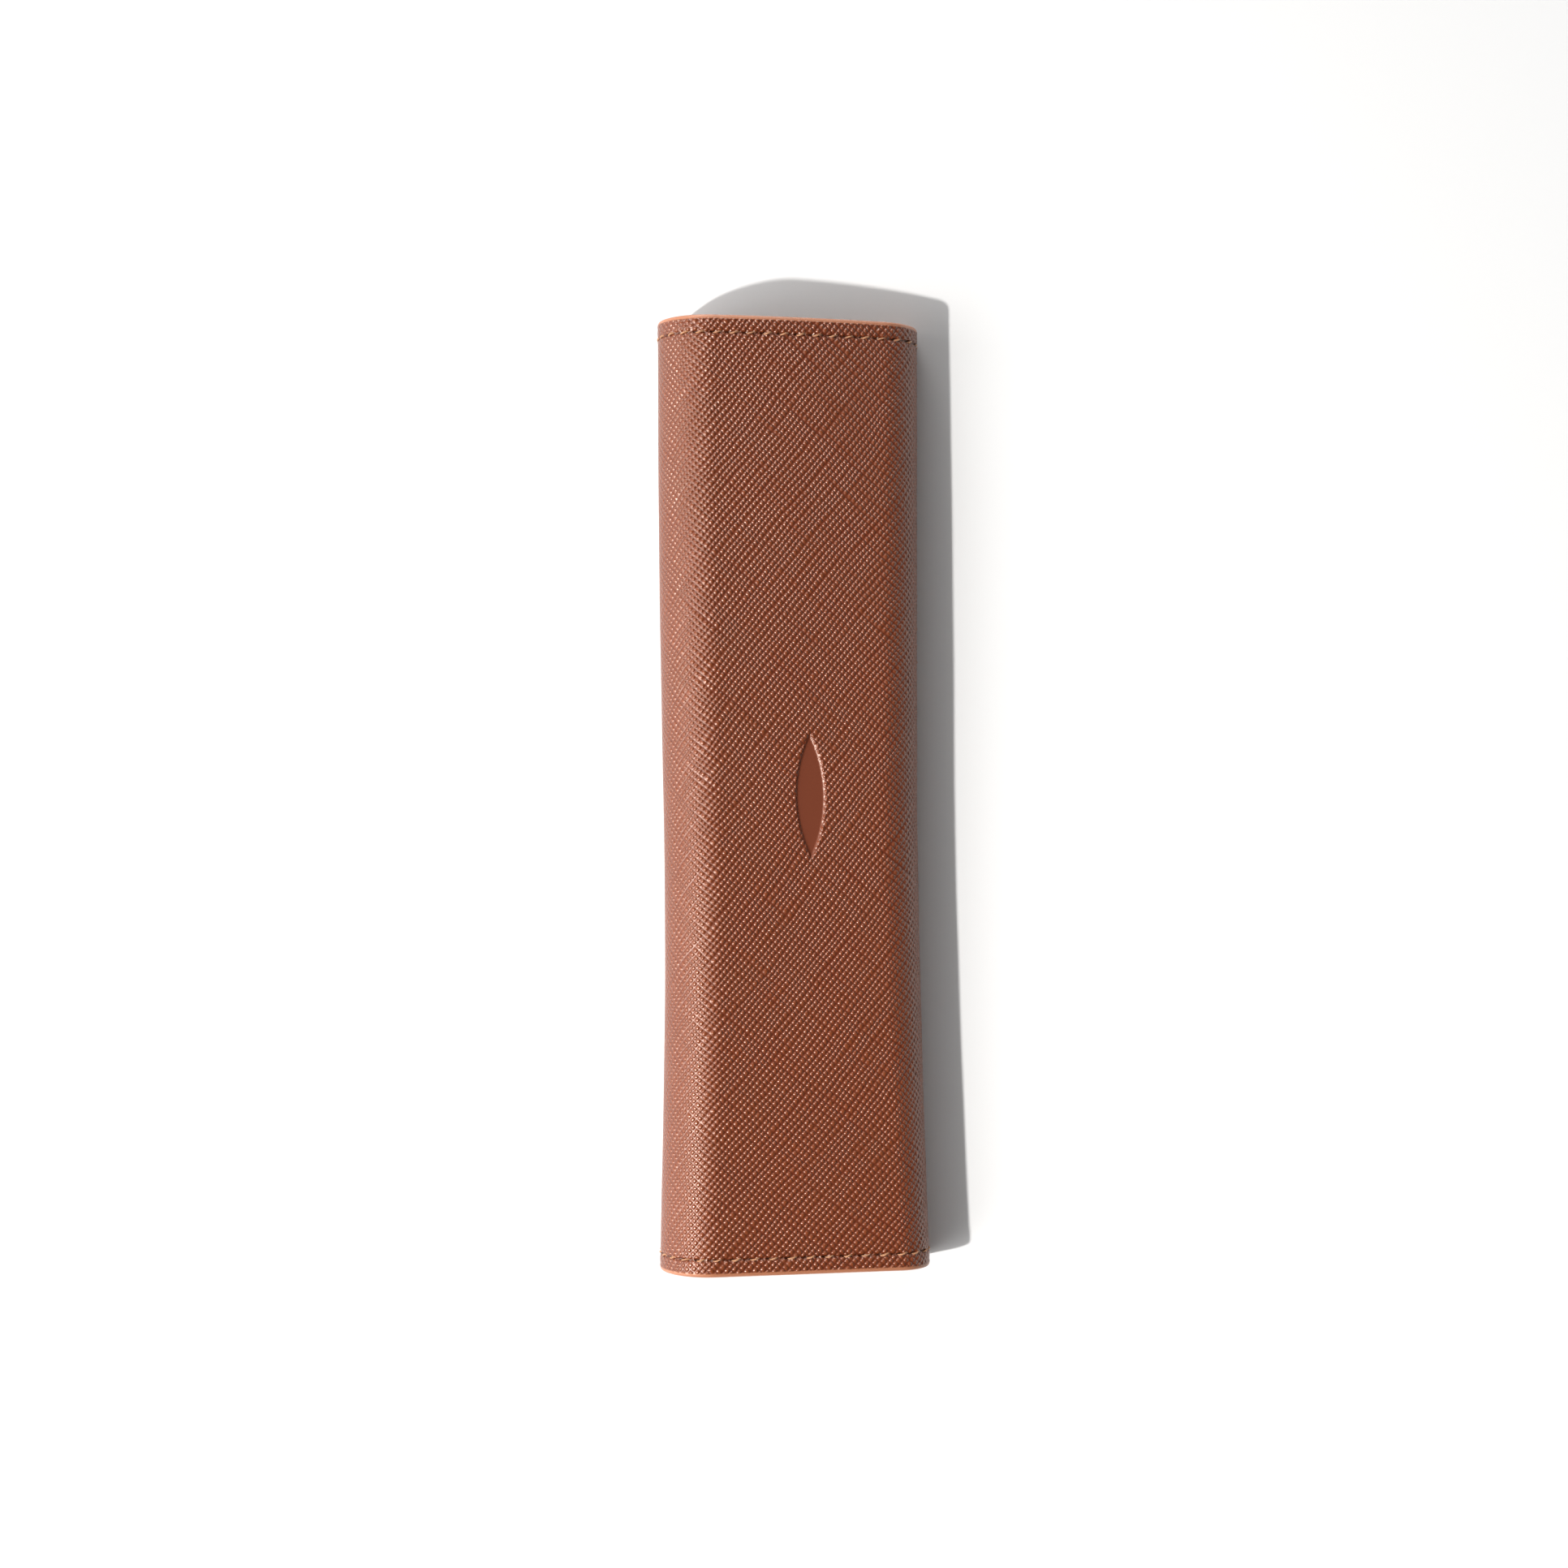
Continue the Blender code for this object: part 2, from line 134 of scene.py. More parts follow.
class PenCaseWrapShape(bpy.types.PropertyGroup):
    """How the wrap leaves its even section along the case."""

    waist: length("Waist", "How far the spine draws in at the waist", 1.3 * MM)
    waist_y: length("Waist place", "Where along the case the waist is", -28 * MM)
    waist_spread: length("Waist spread", "How far along the case the waist spreads", 52 * MM)
    flare: length("Lip flare", "How far the lip stands out at the foot", 2.2 * MM)
    edge_flare: length("Lip edge flare", "How far the lip's free edge stands out at the foot", 0.9 * MM)
    foot_lift: length("Foot lift", "How much higher the lip's shoulder is at the foot", 1.4 * MM)
    foot_tighten: length("Foot shoulder", "How much smaller the shoulder's radius is at the foot", 1.8 * MM)
    head_drop: length("Head drop", "How much lower the lip's shoulder is at the head", 1.7 * MM)
    head_ease: length("Head shoulder", "How much larger the shoulder's radius is at the head", 0.9 * MM)
    head_crown: length("Head crown", "How far the cover bows outwards at the head", 0.7 * MM)
    wobble: length("Wobble", "Height of the soft waves in the leather", 0.05 * MM)


class PenCaseLayers(bpy.types.PropertyGroup):
    """Thicknesses of the wrap's layers and the form of its edges."""

    skin: length("Leather", "Thickness of the outer leather", 1.0 * MM)
    skin_end: length("Folded end", "Thickness of the leather where it is sewn at its ends", 1.9 * MM)
    padding: length("Padding", "Thickness of boards and fleece", 0.8 * MM)
    lining: length("Lining", "Thickness of the suede lining", 0.4 * MM)
    glue: length("Glue", "Gap between two layers", 0.1 * MM)
    edge_round: length("Edge rounding", "Radius of the painted edges", 0.55 * MM)
    edge_paint: length("Edge paint", "Width of the painted border on the face", 0.75 * MM)
    stamp_depth: length("Stamp depth", "Depth of the blind stamp", 0.3 * MM)
    stamp_half_length: length("Stamp half length", "Half of the blind stamp's length", 11.0 * MM)
    stamp_half_width: length("Stamp half width", "Half of the blind stamp's width", 2.6 * MM)
    stamp_x: length("Stamp place", "Distance of the blind stamp from the middle of the case", 3.5 * MM)


class PenCaseSeams(bpy.types.PropertyGroup):
    """Sizes of the stitching."""

    pitch: length("Stitch pitch", "Distance from stitch to stitch", 3.05 * MM)
    inset: length("Seam inset", "Distance of the end seams from the ends", 3.1 * MM)
    lip_inset: length("Lip seam inset", "Distance of the lip seam from the lip's edge", 2.0 * MM)
    thread: length("Thread radius", "Radius of the thread", 0.165 * MM)
    lift: length("Stitch lift", "How far a stitch stands above the leather", 0.12 * MM)
    slant: length("Stitch slant", "How far a stitch's ends lie to either side of the seam", 0.22 * MM)
    slot: length("Seam depth", "Depth of the slots that the thread sinks into", 0.42 * MM)
    seed: IntProperty(name="Seed", description="Seed of the stitches' small differences", default=7)


class PenCaseLeather(bpy.types.PropertyGroup):
    """Colour and grain of the cross-hatched leather."""

    crest: colour("Crest", "Colour on top of the grain", (0.222, 0.052, 0.0165))
    # Painted shade: the grooves are coloured darker than the crests, for the shade that the grain's bump
    # doesn't cast.
    groove_shade: colour("Valley", "Colour in the grain's grooves", (0.120, 0.0150, 0.0015))
    pressed: colour("Pressed", "Colour of the smooth stamp", (0.165, 0.0355, 0.0135))
    paint: colour("Edge paint", "Colour of the painted edges", (0.44, 0.17, 0.088))
    pitch_rising: length("Rising pitch", "Distance between the grooves that rise to the right", 0.92 * MM)
    pitch_falling: length("Falling pitch", "Distance between the grooves that fall to the right", 0.885 * MM)
    depth: length("Grain depth", "Depth of the grain", 0.2 * MM)
    gloss: share("Gloss", "Roughness on the crests", 0.2)
    groove_gloss: share("Groove gloss", "Roughness in the grooves", 0.36)


class PenCaseInside(bpy.types.PropertyGroup):
    """Sizes and colours of what is inside the case."""

    suede: colour("Suede", "Colour of the lining's nap", (0.27, 0.135, 0.075))
    elastic: colour("Elastic", "Colour of the elastic loops", (0.075, 0.032, 0.018))
    thread: colour("Thread", "Colour of the waxed thread", (0.42, 0.19, 0.085))
    sleeve_wall: length("Sleeve wall", "Thickness of a sleeve's suede", 0.6 * MM)
    hem_depth: length("Hem depth", "How far the sleeve's hem is turned over", 6.0 * MM)
    hem_swell: length("Hem swell", "How much thicker the hem is", 0.35 * MM)
    sleeve_sag: length("Sleeve sag", "How far an empty sleeve sinks in along its top", 0.5 * MM)


class PenCaseStage(bpy.types.PropertyGroup):
    """Light, floor and camera."""

    key: amount("Key light", "Power of the key light", 21.0)
    key_radius: length("Key size", "Radius of the key light", 14 * MM)
    key_place: FloatVectorProperty(
        name="Key place",
        description="Place of the key light",
        default=(-0.41, -0.196, 0.548),
        subtype="TRANSLATION",
    )
    fill: amount("Fill", "Strength of the even light from all round", 0.05)
    wall: share("Wall", "Brightness of the plain wall behind the case", 0.86)
    window: amount("Window", "Strength of the window on the spine's side", 8.0)
    window_toward: toward("Window direction", "Where the window is", (-0.83, -0.27, 0.485))
    window_spread: angle("Window width", "How wide the window's light is", 18)
    door: amount("Door", "Strength of the light beyond the head", 6.5)
    door_toward: toward("Door direction", "Where the light beyond the head is", (-0.15, 0.96, 0.235))
    door_spread: angle("Door width", "How wide the light beyond the head is", 24)
    floor: colour("Floor", "Colour of the floor", (0.82, 0.82, 0.82))
    camera_height: length("Camera height", "Height of the camera above the floor", 446 * MM)
    camera_x: length("Camera x", "Camera's place across the case", -0.765 * MM)
    camera_y: length("Camera y", "Camera's place along the case", 2.12 * MM)
    lens: FloatProperty(name="Lens", description="Focal length for a 36 mm sensor", default=55.5)


def settings(name):
    return getattr(bpy.context.scene, "pen_case_" + name)


# The wrap's section


def smooth(t):
    t = np.clip(t, 0, 1)
    return t * t * (3 - 2 * t)


def bell(x, middle, spread):
    return np.exp(-(((x - middle) / spread) ** 2))


class WrapSection:
    """The outer line of the wrap across the case at one place along it, and the way it faces."""

    def __init__(self, y=None):
        shape = settings("wrap_shape")
        waist = foot = head = 0.0
        if y is not None:
            waist = shape.waist * bell(y, shape.waist_y, shape.waist_spread)
            foot = max(0.0, -y / HALF_LENGTH) ** 1.5
            head = max(0.0, y / HALF_LENGTH) ** 1.5
        radius = CORNER_SPINE_RADIUS
        self.spine_radius = radius
        self.lip_radius = CORNER_LIP_RADIUS - shape.foot_tighten * foot + shape.head_ease * head
        self.left = LEFT_X + waist
        self.right = RIGHT_X + shape.flare * foot
        self.lower = (self.left + radius, radius)
        self.upper = (self.left + radius, TOP_Z - radius)
        self.shoulder = (
            self.right - self.lip_radius,
            LIP_CENTRE_Z + shape.foot_lift * foot - shape.head_drop * head,
        )
        self.crown = shape.head_crown * head
        across = self.shoulder[0] - self.upper[0]
        rise = self.shoulder[1] - self.upper[1]
        reach = (radius - self.lip_radius) / math.hypot(across, rise)
        self.cover_angle = math.atan2(rise, across) + math.acos(reach)
        self.lip_edge = (RIGHT_X + shape.edge_flare * foot, LIP_EDGE_Z)
        aside, below = self.lip_edge[0] - self.shoulder[0], self.lip_edge[1] - self.shoulder[1]
        self.lip_angle = math.atan2(below, aside) + math.acos(self.lip_radius / math.hypot(aside, below))

    def cover_x(self):
        """Where the cover's straight stretch starts."""
        return self.upper[0] + self.spine_radius * math.cos(self.cover_angle)

    def on_arc(self, centre, radius, angle):
        c, s = np.cos(angle), np.sin(angle)
        return np.stack([centre[0] + radius * c, centre[1] + radius * s, c, s])

    def on_line(self, start, end, t, bow=0.0):
        """Points on a straight stretch. It may bow outwards, which leaves its ends where they are."""
        dx, dz = end[0] - start[0], end[1] - start[1]
        size = math.hypot(dx, dz)
        nx, nz = -dz / size, dx / size
        swell = bow * 4 * t * (1 - t)
        tilt = bow * 4 * (1 - 2 * t) / size
        normal = np.stack([nx - tilt * dx / size, nz - tilt * dz / size])
        return np.stack([start[0] + dx * t + nx * swell, start[1] + dz * t + nz * swell, *normal])

    def stretches(self):
        """The seven stretches from the base's edge to the lip's edge, each a function of its own 0 to 1."""
        a = self.cover_angle
        r, q = self.spine_radius, self.lip_radius
        low, high, lip = self.lower, self.upper, self.shoulder
        cover_start = (high[0] + r * math.cos(a), high[1] + r * math.sin(a))
        cover_end = (lip[0] + q * math.cos(a), lip[1] + q * math.sin(a))
        b = self.lip_angle
        lip_start = (lip[0] + q * math.cos(b), lip[1] + q * math.sin(b))
        return [
            (low[0] - BASE_EDGE_X, lambda t: self.on_line((BASE_EDGE_X, 0), (low[0], 0), t)),
            (r * math.pi / 2, lambda t: self.on_arc(low, r, math.radians(270) - t * math.pi / 2)),
            (high[1] - low[1], lambda t: self.on_line((self.left, low[1]), (self.left, high[1]), t)),
            (r * (math.pi - a), lambda t: self.on_arc(high, r, math.pi + (a - math.pi) * t)),
            (
                math.dist(cover_start, cover_end),
                lambda t: self.on_line(cover_start, cover_end, t, self.crown),
            ),
            (q * (a - b), lambda t: self.on_arc(lip, q, a + (b - a) * t)),
            (math.dist(lip_start, self.lip_edge), lambda t: self.on_line(lip_start, self.lip_edge, t)),
        ]

    def at(self, girth):
        """x, z and the outward direction for an array of places on the girth."""
        marks = girth_marks()
        found = np.zeros((4, len(girth)))
        which = np.clip(np.searchsorted(marks, girth, side="right") - 1, 0, len(marks) - 2)
        for index, (_, curve) in enumerate(self.stretches()):
            inside = which == index
            t = (girth[inside] - marks[index]) / (marks[index + 1] - marks[index])
            found[:, inside] = curve(t)
        return found


def girth_marks():
    """Where each stretch of the wrap starts, measured round its even section, and where the last ends."""
    return np.concatenate([[0.0], np.cumsum([abs(size) for size, _ in WrapSection().stretches()])])


def underside(girth):
    """1 on the flat underside, where the case rests, and 0 from the spine's curve on."""
    return 1 - smooth((girth - girth_marks()[1]) / (3 * MM) + 1)


def surface_point(girth, y, depth=0.0):
    """(place, tangent along the girth, facing direction) on the wrap's face, or on its lining at a depth."""
    x, z, nx, nz = WrapSection(y).at(np.array([girth]))[:, 0]
    normal = Vector((nx, 0, nz)).normalized()
    sunk = UNDERSIDE_STITCHES * float(underside(girth)) if depth == 0.0 else 0.0
    place = Vector((x, y, z)) - normal * (depth + sunk)
    tangent = Vector((normal.z, 0, -normal.x))
    return place, tangent, normal if depth == 0.0 else -normal


# Where the wrap is split, and how its parts bend


def folds():
    """For each part of the wrap: its girth range, its two bodies and whether each of its ends is free."""
    marks = girth_marks()
    pitch = settings("seams").pitch
    spine_split = (marks[2] + marks[3]) / 2
    cover_split = (math.ceil((marks[4] + 4 * MM) / pitch) + 0.5) * pitch
    return {
        "base": {"girth": (0.0, spine_split), "bodies": ("base", "spine"), "free": (True, False)},
        "spine": {"girth": (spine_split, cover_split), "bodies": ("spine", "cover"), "free": (False, False)},
        "cover": {"girth": (cover_split, marks[-1]), "bodies": ("cover", "lip"), "free": (False, True)},
    }


def bend_line(part, depth):
    """Where a part's bend starts and ends for a layer at a depth, clear of the parts on both sides."""
    even = WrapSection()
    side = even.left + settings("wrap_shape").waist + depth
    slope = np.array([math.cos(even.cover_angle), math.sin(even.cover_angle)])
    cover_start = np.array(even.upper) + (even.spine_radius - depth) * slope
    cover_end = np.array(even.shoulder) + (even.lip_radius - depth) * slope
    ends = {
        "base": ((even.lower[0], depth), (side, even.lower[1])),
        "spine": ((side, even.upper[1]), cover_start),
        "cover": (cover_end, (even.right - depth, even.shoulder[1])),
    }
    return [(float(x), 0.0, float(z)) for x, z in ends[part]]


def bend_with(piece, part, depth):
    """Bakes a finished layer's placement into its mesh. The bend line of its part, for a layer whose middle
    lies at a depth, is worked out but not used.
    """
    start, end = bend_line(part, depth)
    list(folds()[part]["bodies"])
    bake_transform(piece)


# Meshes


def new_piece(name, mesh, look, slot_name):
    """An object at the origin that shows a mesh with one material. Its slot name is not used."""
    obj = bpy.data.objects.new(name, mesh)
    bpy.context.scene.collection.objects.link(obj)
    mesh.materials.clear()
    mesh.materials.append(look)
    return obj


def grid_faces(rows, columns, first=0, flip=False):
    """Quads over a grid of points that is stored row by row."""
    corner = first + np.arange(rows - 1)[:, None] * columns + np.arange(columns - 1)[None, :]
    quads = np.stack([corner, corner + 1, corner + columns + 1, corner + columns], axis=-1).reshape(-1, 4)
    return quads[:, ::-1] if flip else quads


def rim_faces(outer, inner, flip=False):
    """Quads that join two equal rows of points."""
    quads = np.stack([outer[:-1], inner[:-1], inner[1:], outer[1:]], axis=-1)
    return quads[:, ::-1] if flip else quads


def mesh_from(name, points, faces, uv, values=()):
    """A smooth mesh with a UV map named hide, in metres on the leather, and named values on its points."""
    mesh = bpy.data.meshes.new(name)
    mesh.from_pydata(points.tolist(), [], faces)
    corners = np.zeros(len(mesh.loops), dtype=np.int32)
    mesh.loops.foreach_get("vertex_index", corners)
    layer = mesh.uv_layers.new(name="hide")
    layer.data.foreach_set("uv", uv[corners].astype(np.float32).ravel())
    for key, value in values:
        attribute = mesh.attributes.new(key, "FLOAT", "POINT")
        attribute.data.foreach_set("value", value.astype(np.float32))
    mesh.shade_smooth()
    mesh.set_sharp_from_angle(angle=math.radians(50))
    return mesh


def closed_sheet(name, girths, ys, outer_depth, inner_depth, values=()):
    """A closed sheet of the wrap between two depths, which are functions of the girth and of y."""
    rows, columns = len(ys), len(girths)
    outer, inner = [], []
    for y in ys:
        x, z, nx, nz = WrapSection(y).at(girths)
        for layer, depth in ((outer, outer_depth(girths, y)), (inner, inner_depth(girths, y))):
            layer.append(np.stack([x - nx * depth, np.full(columns, y), z - nz * depth], axis=-1))
    points = np.concatenate([np.concatenate(outer), np.concatenate(inner)])
    index = np.arange(2 * rows * columns).reshape(2, rows, columns)
    faces = np.concatenate(
        [
            grid_faces(rows, columns),
            grid_faces(rows, columns, first=rows * columns, flip=True),
            rim_faces(index[0, 0], index[1, 0]),
            rim_faces(index[0, -1], index[1, -1], flip=True),
            rim_faces(index[0, :, 0], index[1, :, 0], flip=True),
            rim_faces(index[0, :, -1], index[1, :, -1]),
        ]
    )
    u, v = np.meshgrid(girths, ys)
    uv = np.stack([u.ravel(), v.ravel()], axis=-1)
    uv = np.concatenate([uv, uv])
    found = [(key, np.concatenate([function(girths, y) for y in ys] * 2)) for key, function in values]
    return mesh_from(name, points, faces.tolist(), uv, found)


def spaced(start, end, step):
    """Evenly spaced places from start to end, about a step apart."""
    return np.linspace(start, end, max(2, round(abs(end - start) / step) + 1))


def refined(start, end, step, zones):
    """Places from start to end, a step apart, with a finer step inside each (low, high, step) zone."""
    places = set(np.round(spaced(start, end, step), 8))
    for low, high, fine in zones:
        low, high = max(low, start), min(high, end)
        if low < high:
            places = {p for p in places if not low < p < high}
            places |= set(np.round(spaced(low, high, fine), 8))
    places |= {round(start, 8), round(end, 8)}
    ordered = np.array(sorted(places))
    keep = np.concatenate([[True], np.diff(ordered) > 0.02 * MM])
    ordered = ordered[keep]
    ordered[-1] = end
    return ordered


# The skin


def end_distance(y):
    return HALF_LENGTH - abs(y)


def round_over(distance, radius):
    """Depth of a quarter-round edge at a distance from the edge."""
    inside = np.clip(radius - distance, 0, radius)
    return radius - np.sqrt(np.maximum(radius**2 - inside**2, 0))


def free_edge_distance(girth, part):
    """Distance from the wrap's own long edges, which are far from a part that has none."""
    start, end = folds()[part]["girth"]
    free_start, free_end = folds()[part]["free"]
    far = np.full(len(girth), 1.0)
    if free_start:
        far = np.minimum(far, girth - start)
    if free_end:
        far = np.minimum(far, end - girth)
    return far


def stamp_shape(girth, y):
    """1 inside the pointed oval of the blind stamp, 0 outside it, with a soft wall between them."""
    layers = settings("layers")
    marks = girth_marks()
    even = WrapSection()
    across = (girth - marks[4]) * math.sin(even.cover_angle) + even.cover_x() - layers.stamp_x
    half_length, half_width = layers.stamp_half_length, layers.stamp_half_width
    radius = (half_length**2 + half_width**2) / (2 * half_width)
    outside = np.hypot(np.abs(across) + radius - half_width, y) - radius
    on_cover = (girth > marks[4]) & (girth < marks[5])
    return smooth(0.5 - outside / (0.4 * MM)) * on_cover


def stitch_phase(place):
    """Where a place lies between two stitches: 0 at a stitch and 1 at the next."""
    return (place / settings("seams").pitch) % 1.0


def seam_slot(offset, place):
    """Depth of the slots between the stitches of a seam."""
    seams = settings("seams")
    phase = stitch_phase(place)
    along = 0.35 + 0.65 * bell(phase, 0.72, 0.2) + 0.3 * bell(phase, 0.32, 0.12)
    return seams.slot * along * bell(offset, 0, 0.26 * MM)


def skin_depth(part):
    """The skin's outer face: soft waves, a rounded and painted edge, seams and the stamp."""
    shape, layers, seams = settings("wrap_shape"), settings("layers"), settings("seams")
    last = folds()["cover"]["girth"][1]

    def depth(girth, y):
        from_end = end_distance(y)
        from_edge = np.minimum(free_edge_distance(girth, part), from_end)
        waves = np.sin(girth * 310 + y * 95) * np.sin(y * 140 + 1.3) + 0.6 * np.sin(y * 61 - girth * 120)
        found = shape.wobble * waves * 0.5
        found = found + round_over(from_edge, layers.edge_round)
        found -= 0.06 * MM * bell(from_edge, layers.edge_paint, 0.25 * MM)
        found -= 0.07 * MM * bell(from_end, 1.9 * MM, 0.6 * MM)
        found = found + seam_slot(from_end - seams.inset, girth)
        if part == "base":
            found = found + UNDERSIDE_CLEARANCE * underside(girth)
        if part == "cover":
            clear = 1.0 if from_end > seams.inset + 1.0 * MM else 0.0
            found = found + clear * seam_slot(last - girth - seams.lip_inset, y)
            found = found + layers.stamp_depth * stamp_shape(girth, y)
        return found

    return depth


def sewn(part):
    """1 in the slots that the thread sinks into, 0 elsewhere: where the leather's colour is darkened as
    painted shade.
    """
    seams = settings("seams")
    last = folds()["cover"]["girth"][1]

    def value(girth, y):
        found = seam_slot(end_distance(y) - seams.inset, girth)
        if part == "cover" and end_distance(y) > seams.inset + 1.0 * MM:
            found = np.maximum(found, seam_slot(last - girth - seams.lip_inset, y))
        return np.clip(found / seams.slot, 0, 1)

    return value


def skin_inner_depth(part):
    """The skin's inner face, which comes down to the lining where the ends are sewn."""
    layers = settings("layers")

    def depth(girth, y):
        from_end = end_distance(y)
        turned_in = 1 - smooth((from_end - END_FOLD) / (1.0 * MM))
        from_edge = np.minimum(free_edge_distance(girth, part), from_end)
        thick = layers.skin + (layers.skin_end - layers.skin) * turned_in
        return thick - round_over(from_edge, layers.edge_round * 0.8)

    return depth


def painted(part):
    """1 on the painted edges, 0 on the grain."""

    def value(girth, y):
        from_edge = np.minimum(free_edge_distance(girth, part), end_distance(y))
        return 1 - smooth((from_edge - settings("layers").edge_paint) / (0.22 * MM) + 0.5)

    return value


def skin_girths(part):
    start, end = folds()[part]["girth"]
    layers, seams = settings("layers"), settings("seams")
    marks = girth_marks()
    even = WrapSection()
    stamp = marks[4] + (layers.stamp_x - even.cover_x()) / math.sin(even.cover_angle)
    reach = layers.stamp_half_width + 0.5 * MM
    zones = [(stamp - reach, stamp + reach, 0.2 * MM)]
    if folds()[part]["free"][0]:
        zones.append((start, start + 1.2 * MM, 0.12 * MM))
    if folds()[part]["free"][1]:
        zones.append((end - 1.2 * MM, end, 0.12 * MM))
        zones.append((end - seams.lip_inset - 0.7 * MM, end - seams.lip_inset + 0.7 * MM, 0.12 * MM))
    return refined(start, end, seams.pitch / 8, zones)


def skin_ys():
    """Rows along the case, close together at the painted ends, the seams and the stamp."""
    layers, seams = settings("layers"), settings("seams")
    end = HALF_LENGTH
    reach = layers.stamp_half_length + 0.5 * MM
    seam = end - seams.inset
    zones = [
        (-reach, reach, 0.35 * MM),
        (end - 7 * MM, end, 0.5 * MM),
        (-end, 7 * MM - end, 0.5 * MM),
        (end - 1.3 * MM, end, 0.12 * MM),
        (-end, 1.3 * MM - end, 0.12 * MM),
        (seam - 0.7 * MM, seam + 0.7 * MM, 0.12 * MM),
        (-seam - 0.7 * MM, 0.7 * MM - seam, 0.12 * MM),
    ]
    return refined(-end, end, 1.5 * MM, zones)


# Operators


class PENCASE_OT_skin(bpy.types.Operator):
    """Make the outer leather in three parts that meet at the spine and near the cover's left edge"""

    bl_idname = "pencase.skin"
    bl_label = "Outer Leather"

    def execute(self, context):
        look = saffiano_material()
        stand_for = {
            "base": ("base_leather",),
            "spine": ("spine_leather",),
            "cover": ("cover_leather", "lip_leather"),
        }
        ys = skin_ys()
        for part, nodes in stand_for.items():
            # The sewn value marks the stitch slots, which the leather's colour darkens as painted shade.
            values = [("painted", painted(part)), ("sewn", sewn(part))]
            if part == "cover":
                values.append(("pressed", stamp_shape))
            mesh = closed_sheet(
                part + "_skin", skin_girths(part), ys, skin_depth(part), skin_inner_depth(part), values
            )
            skin = new_piece(part + "_skin", mesh, look, "saffiano_leather")
            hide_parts(*nodes)
            bend_with(skin, part, settings("layers").skin / 2)
            girths = skin_girths(part)
        return {"FINISHED"}


def even_sheet(name, girths, ys, depths):
    """A closed sheet of the wrap whose two faces each keep to one depth."""
    outer, inner = depths
    return closed_sheet(
        name, girths, ys, lambda g, y: np.full(len(g), outer), lambda g, y: np.full(len(g), inner)
    )


def padding_depths():
    """Depths of the two faces of boards and fleece under the wrap's outer face."""
    layers = settings("layers")
    outer = layers.skin + layers.glue
    return outer, outer + layers.padding


class PENCASE_OT_lining(bpy.types.Operator):
    """Make the suede lining in three parts under the leather"""

    bl_idname = "pencase.lining"
    bl_label = "Lining"

    def execute(self, context):
        look = suede_material()
        reach = HALF_LENGTH - LINING_END_GAP
        seam = HALF_LENGTH - settings("seams").inset
        zones = [(side * seam - 1.2 * MM, side * seam + 1.2 * MM, 0.3 * MM) for side in (-1, 1)]
        stand_for = {
            "base": ("base_lining",),
            "spine": ("spine_lining",),
            "cover": ("cover_lining", "lip_lining"),
        }
        for part, nodes in stand_for.items():
            start, end = folds()[part]["girth"]
            start += LINING_EDGE_GAP * folds()[part]["free"][0]
            end -= LINING_EDGE_GAP * folds()[part]["free"][1]
            outer, inner = lining_faces(part)
            girths = spaced(start, end, 0.75 * MM)
            ys = refined(-reach, reach, 2.5 * MM, zones)
            mesh = closed_sheet(part + "_suede", girths, ys, outer, inner)
            piece = new_piece(part + "_suede", mesh, look, "suede_lining")
            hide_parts(*nodes)
            bend_with(piece, part, sum(lining_depths()) / 2)
            flat = (2 * reach, flat_length(girths, inner))
        return {"FINISHED"}


def flat_length(girths, depth):
    """Length across the case of a layer of the wrap before it was bent, at a depth."""
    x, z, nx, nz = WrapSection().at(girths)
    inset = depth(girths, 0.0)
    return float(np.hypot(np.diff(x - nx * inset), np.diff(z - nz * inset)).sum())


def lining_depths():
    """Depths of the lining's two faces under the wrap's outer face."""
    layers = settings("layers")
    outer = layers.skin + layers.padding + 2 * layers.glue
    return outer, outer + layers.lining


def lining_faces(part):
    """The lining's two faces: drawn in along the seams, soft elsewhere and rounded at its edges."""
    outer, inner = lining_depths()
    seams = settings("seams")
    last = folds()["cover"]["girth"][1]

    def inner_depth(girth, y):
        from_end = end_distance(y)
        drawn = 0.16 * MM * bell(from_end, seams.inset, 0.5 * MM)
        drawn += 0.2 * MM * bell(from_end, LINING_END_GAP, 0.35 * MM)
        if part == "cover":
            drawn = np.maximum(drawn, 0.14 * MM * bell(last - girth, seams.lip_inset, 0.5 * MM))
        soft = 0.03 * MM * np.sin(girth * 260 + y * 130) * np.sin(y * 170)
        return inner - drawn + soft

    return lambda girth, y: np.full(len(girth), outer), inner_depth


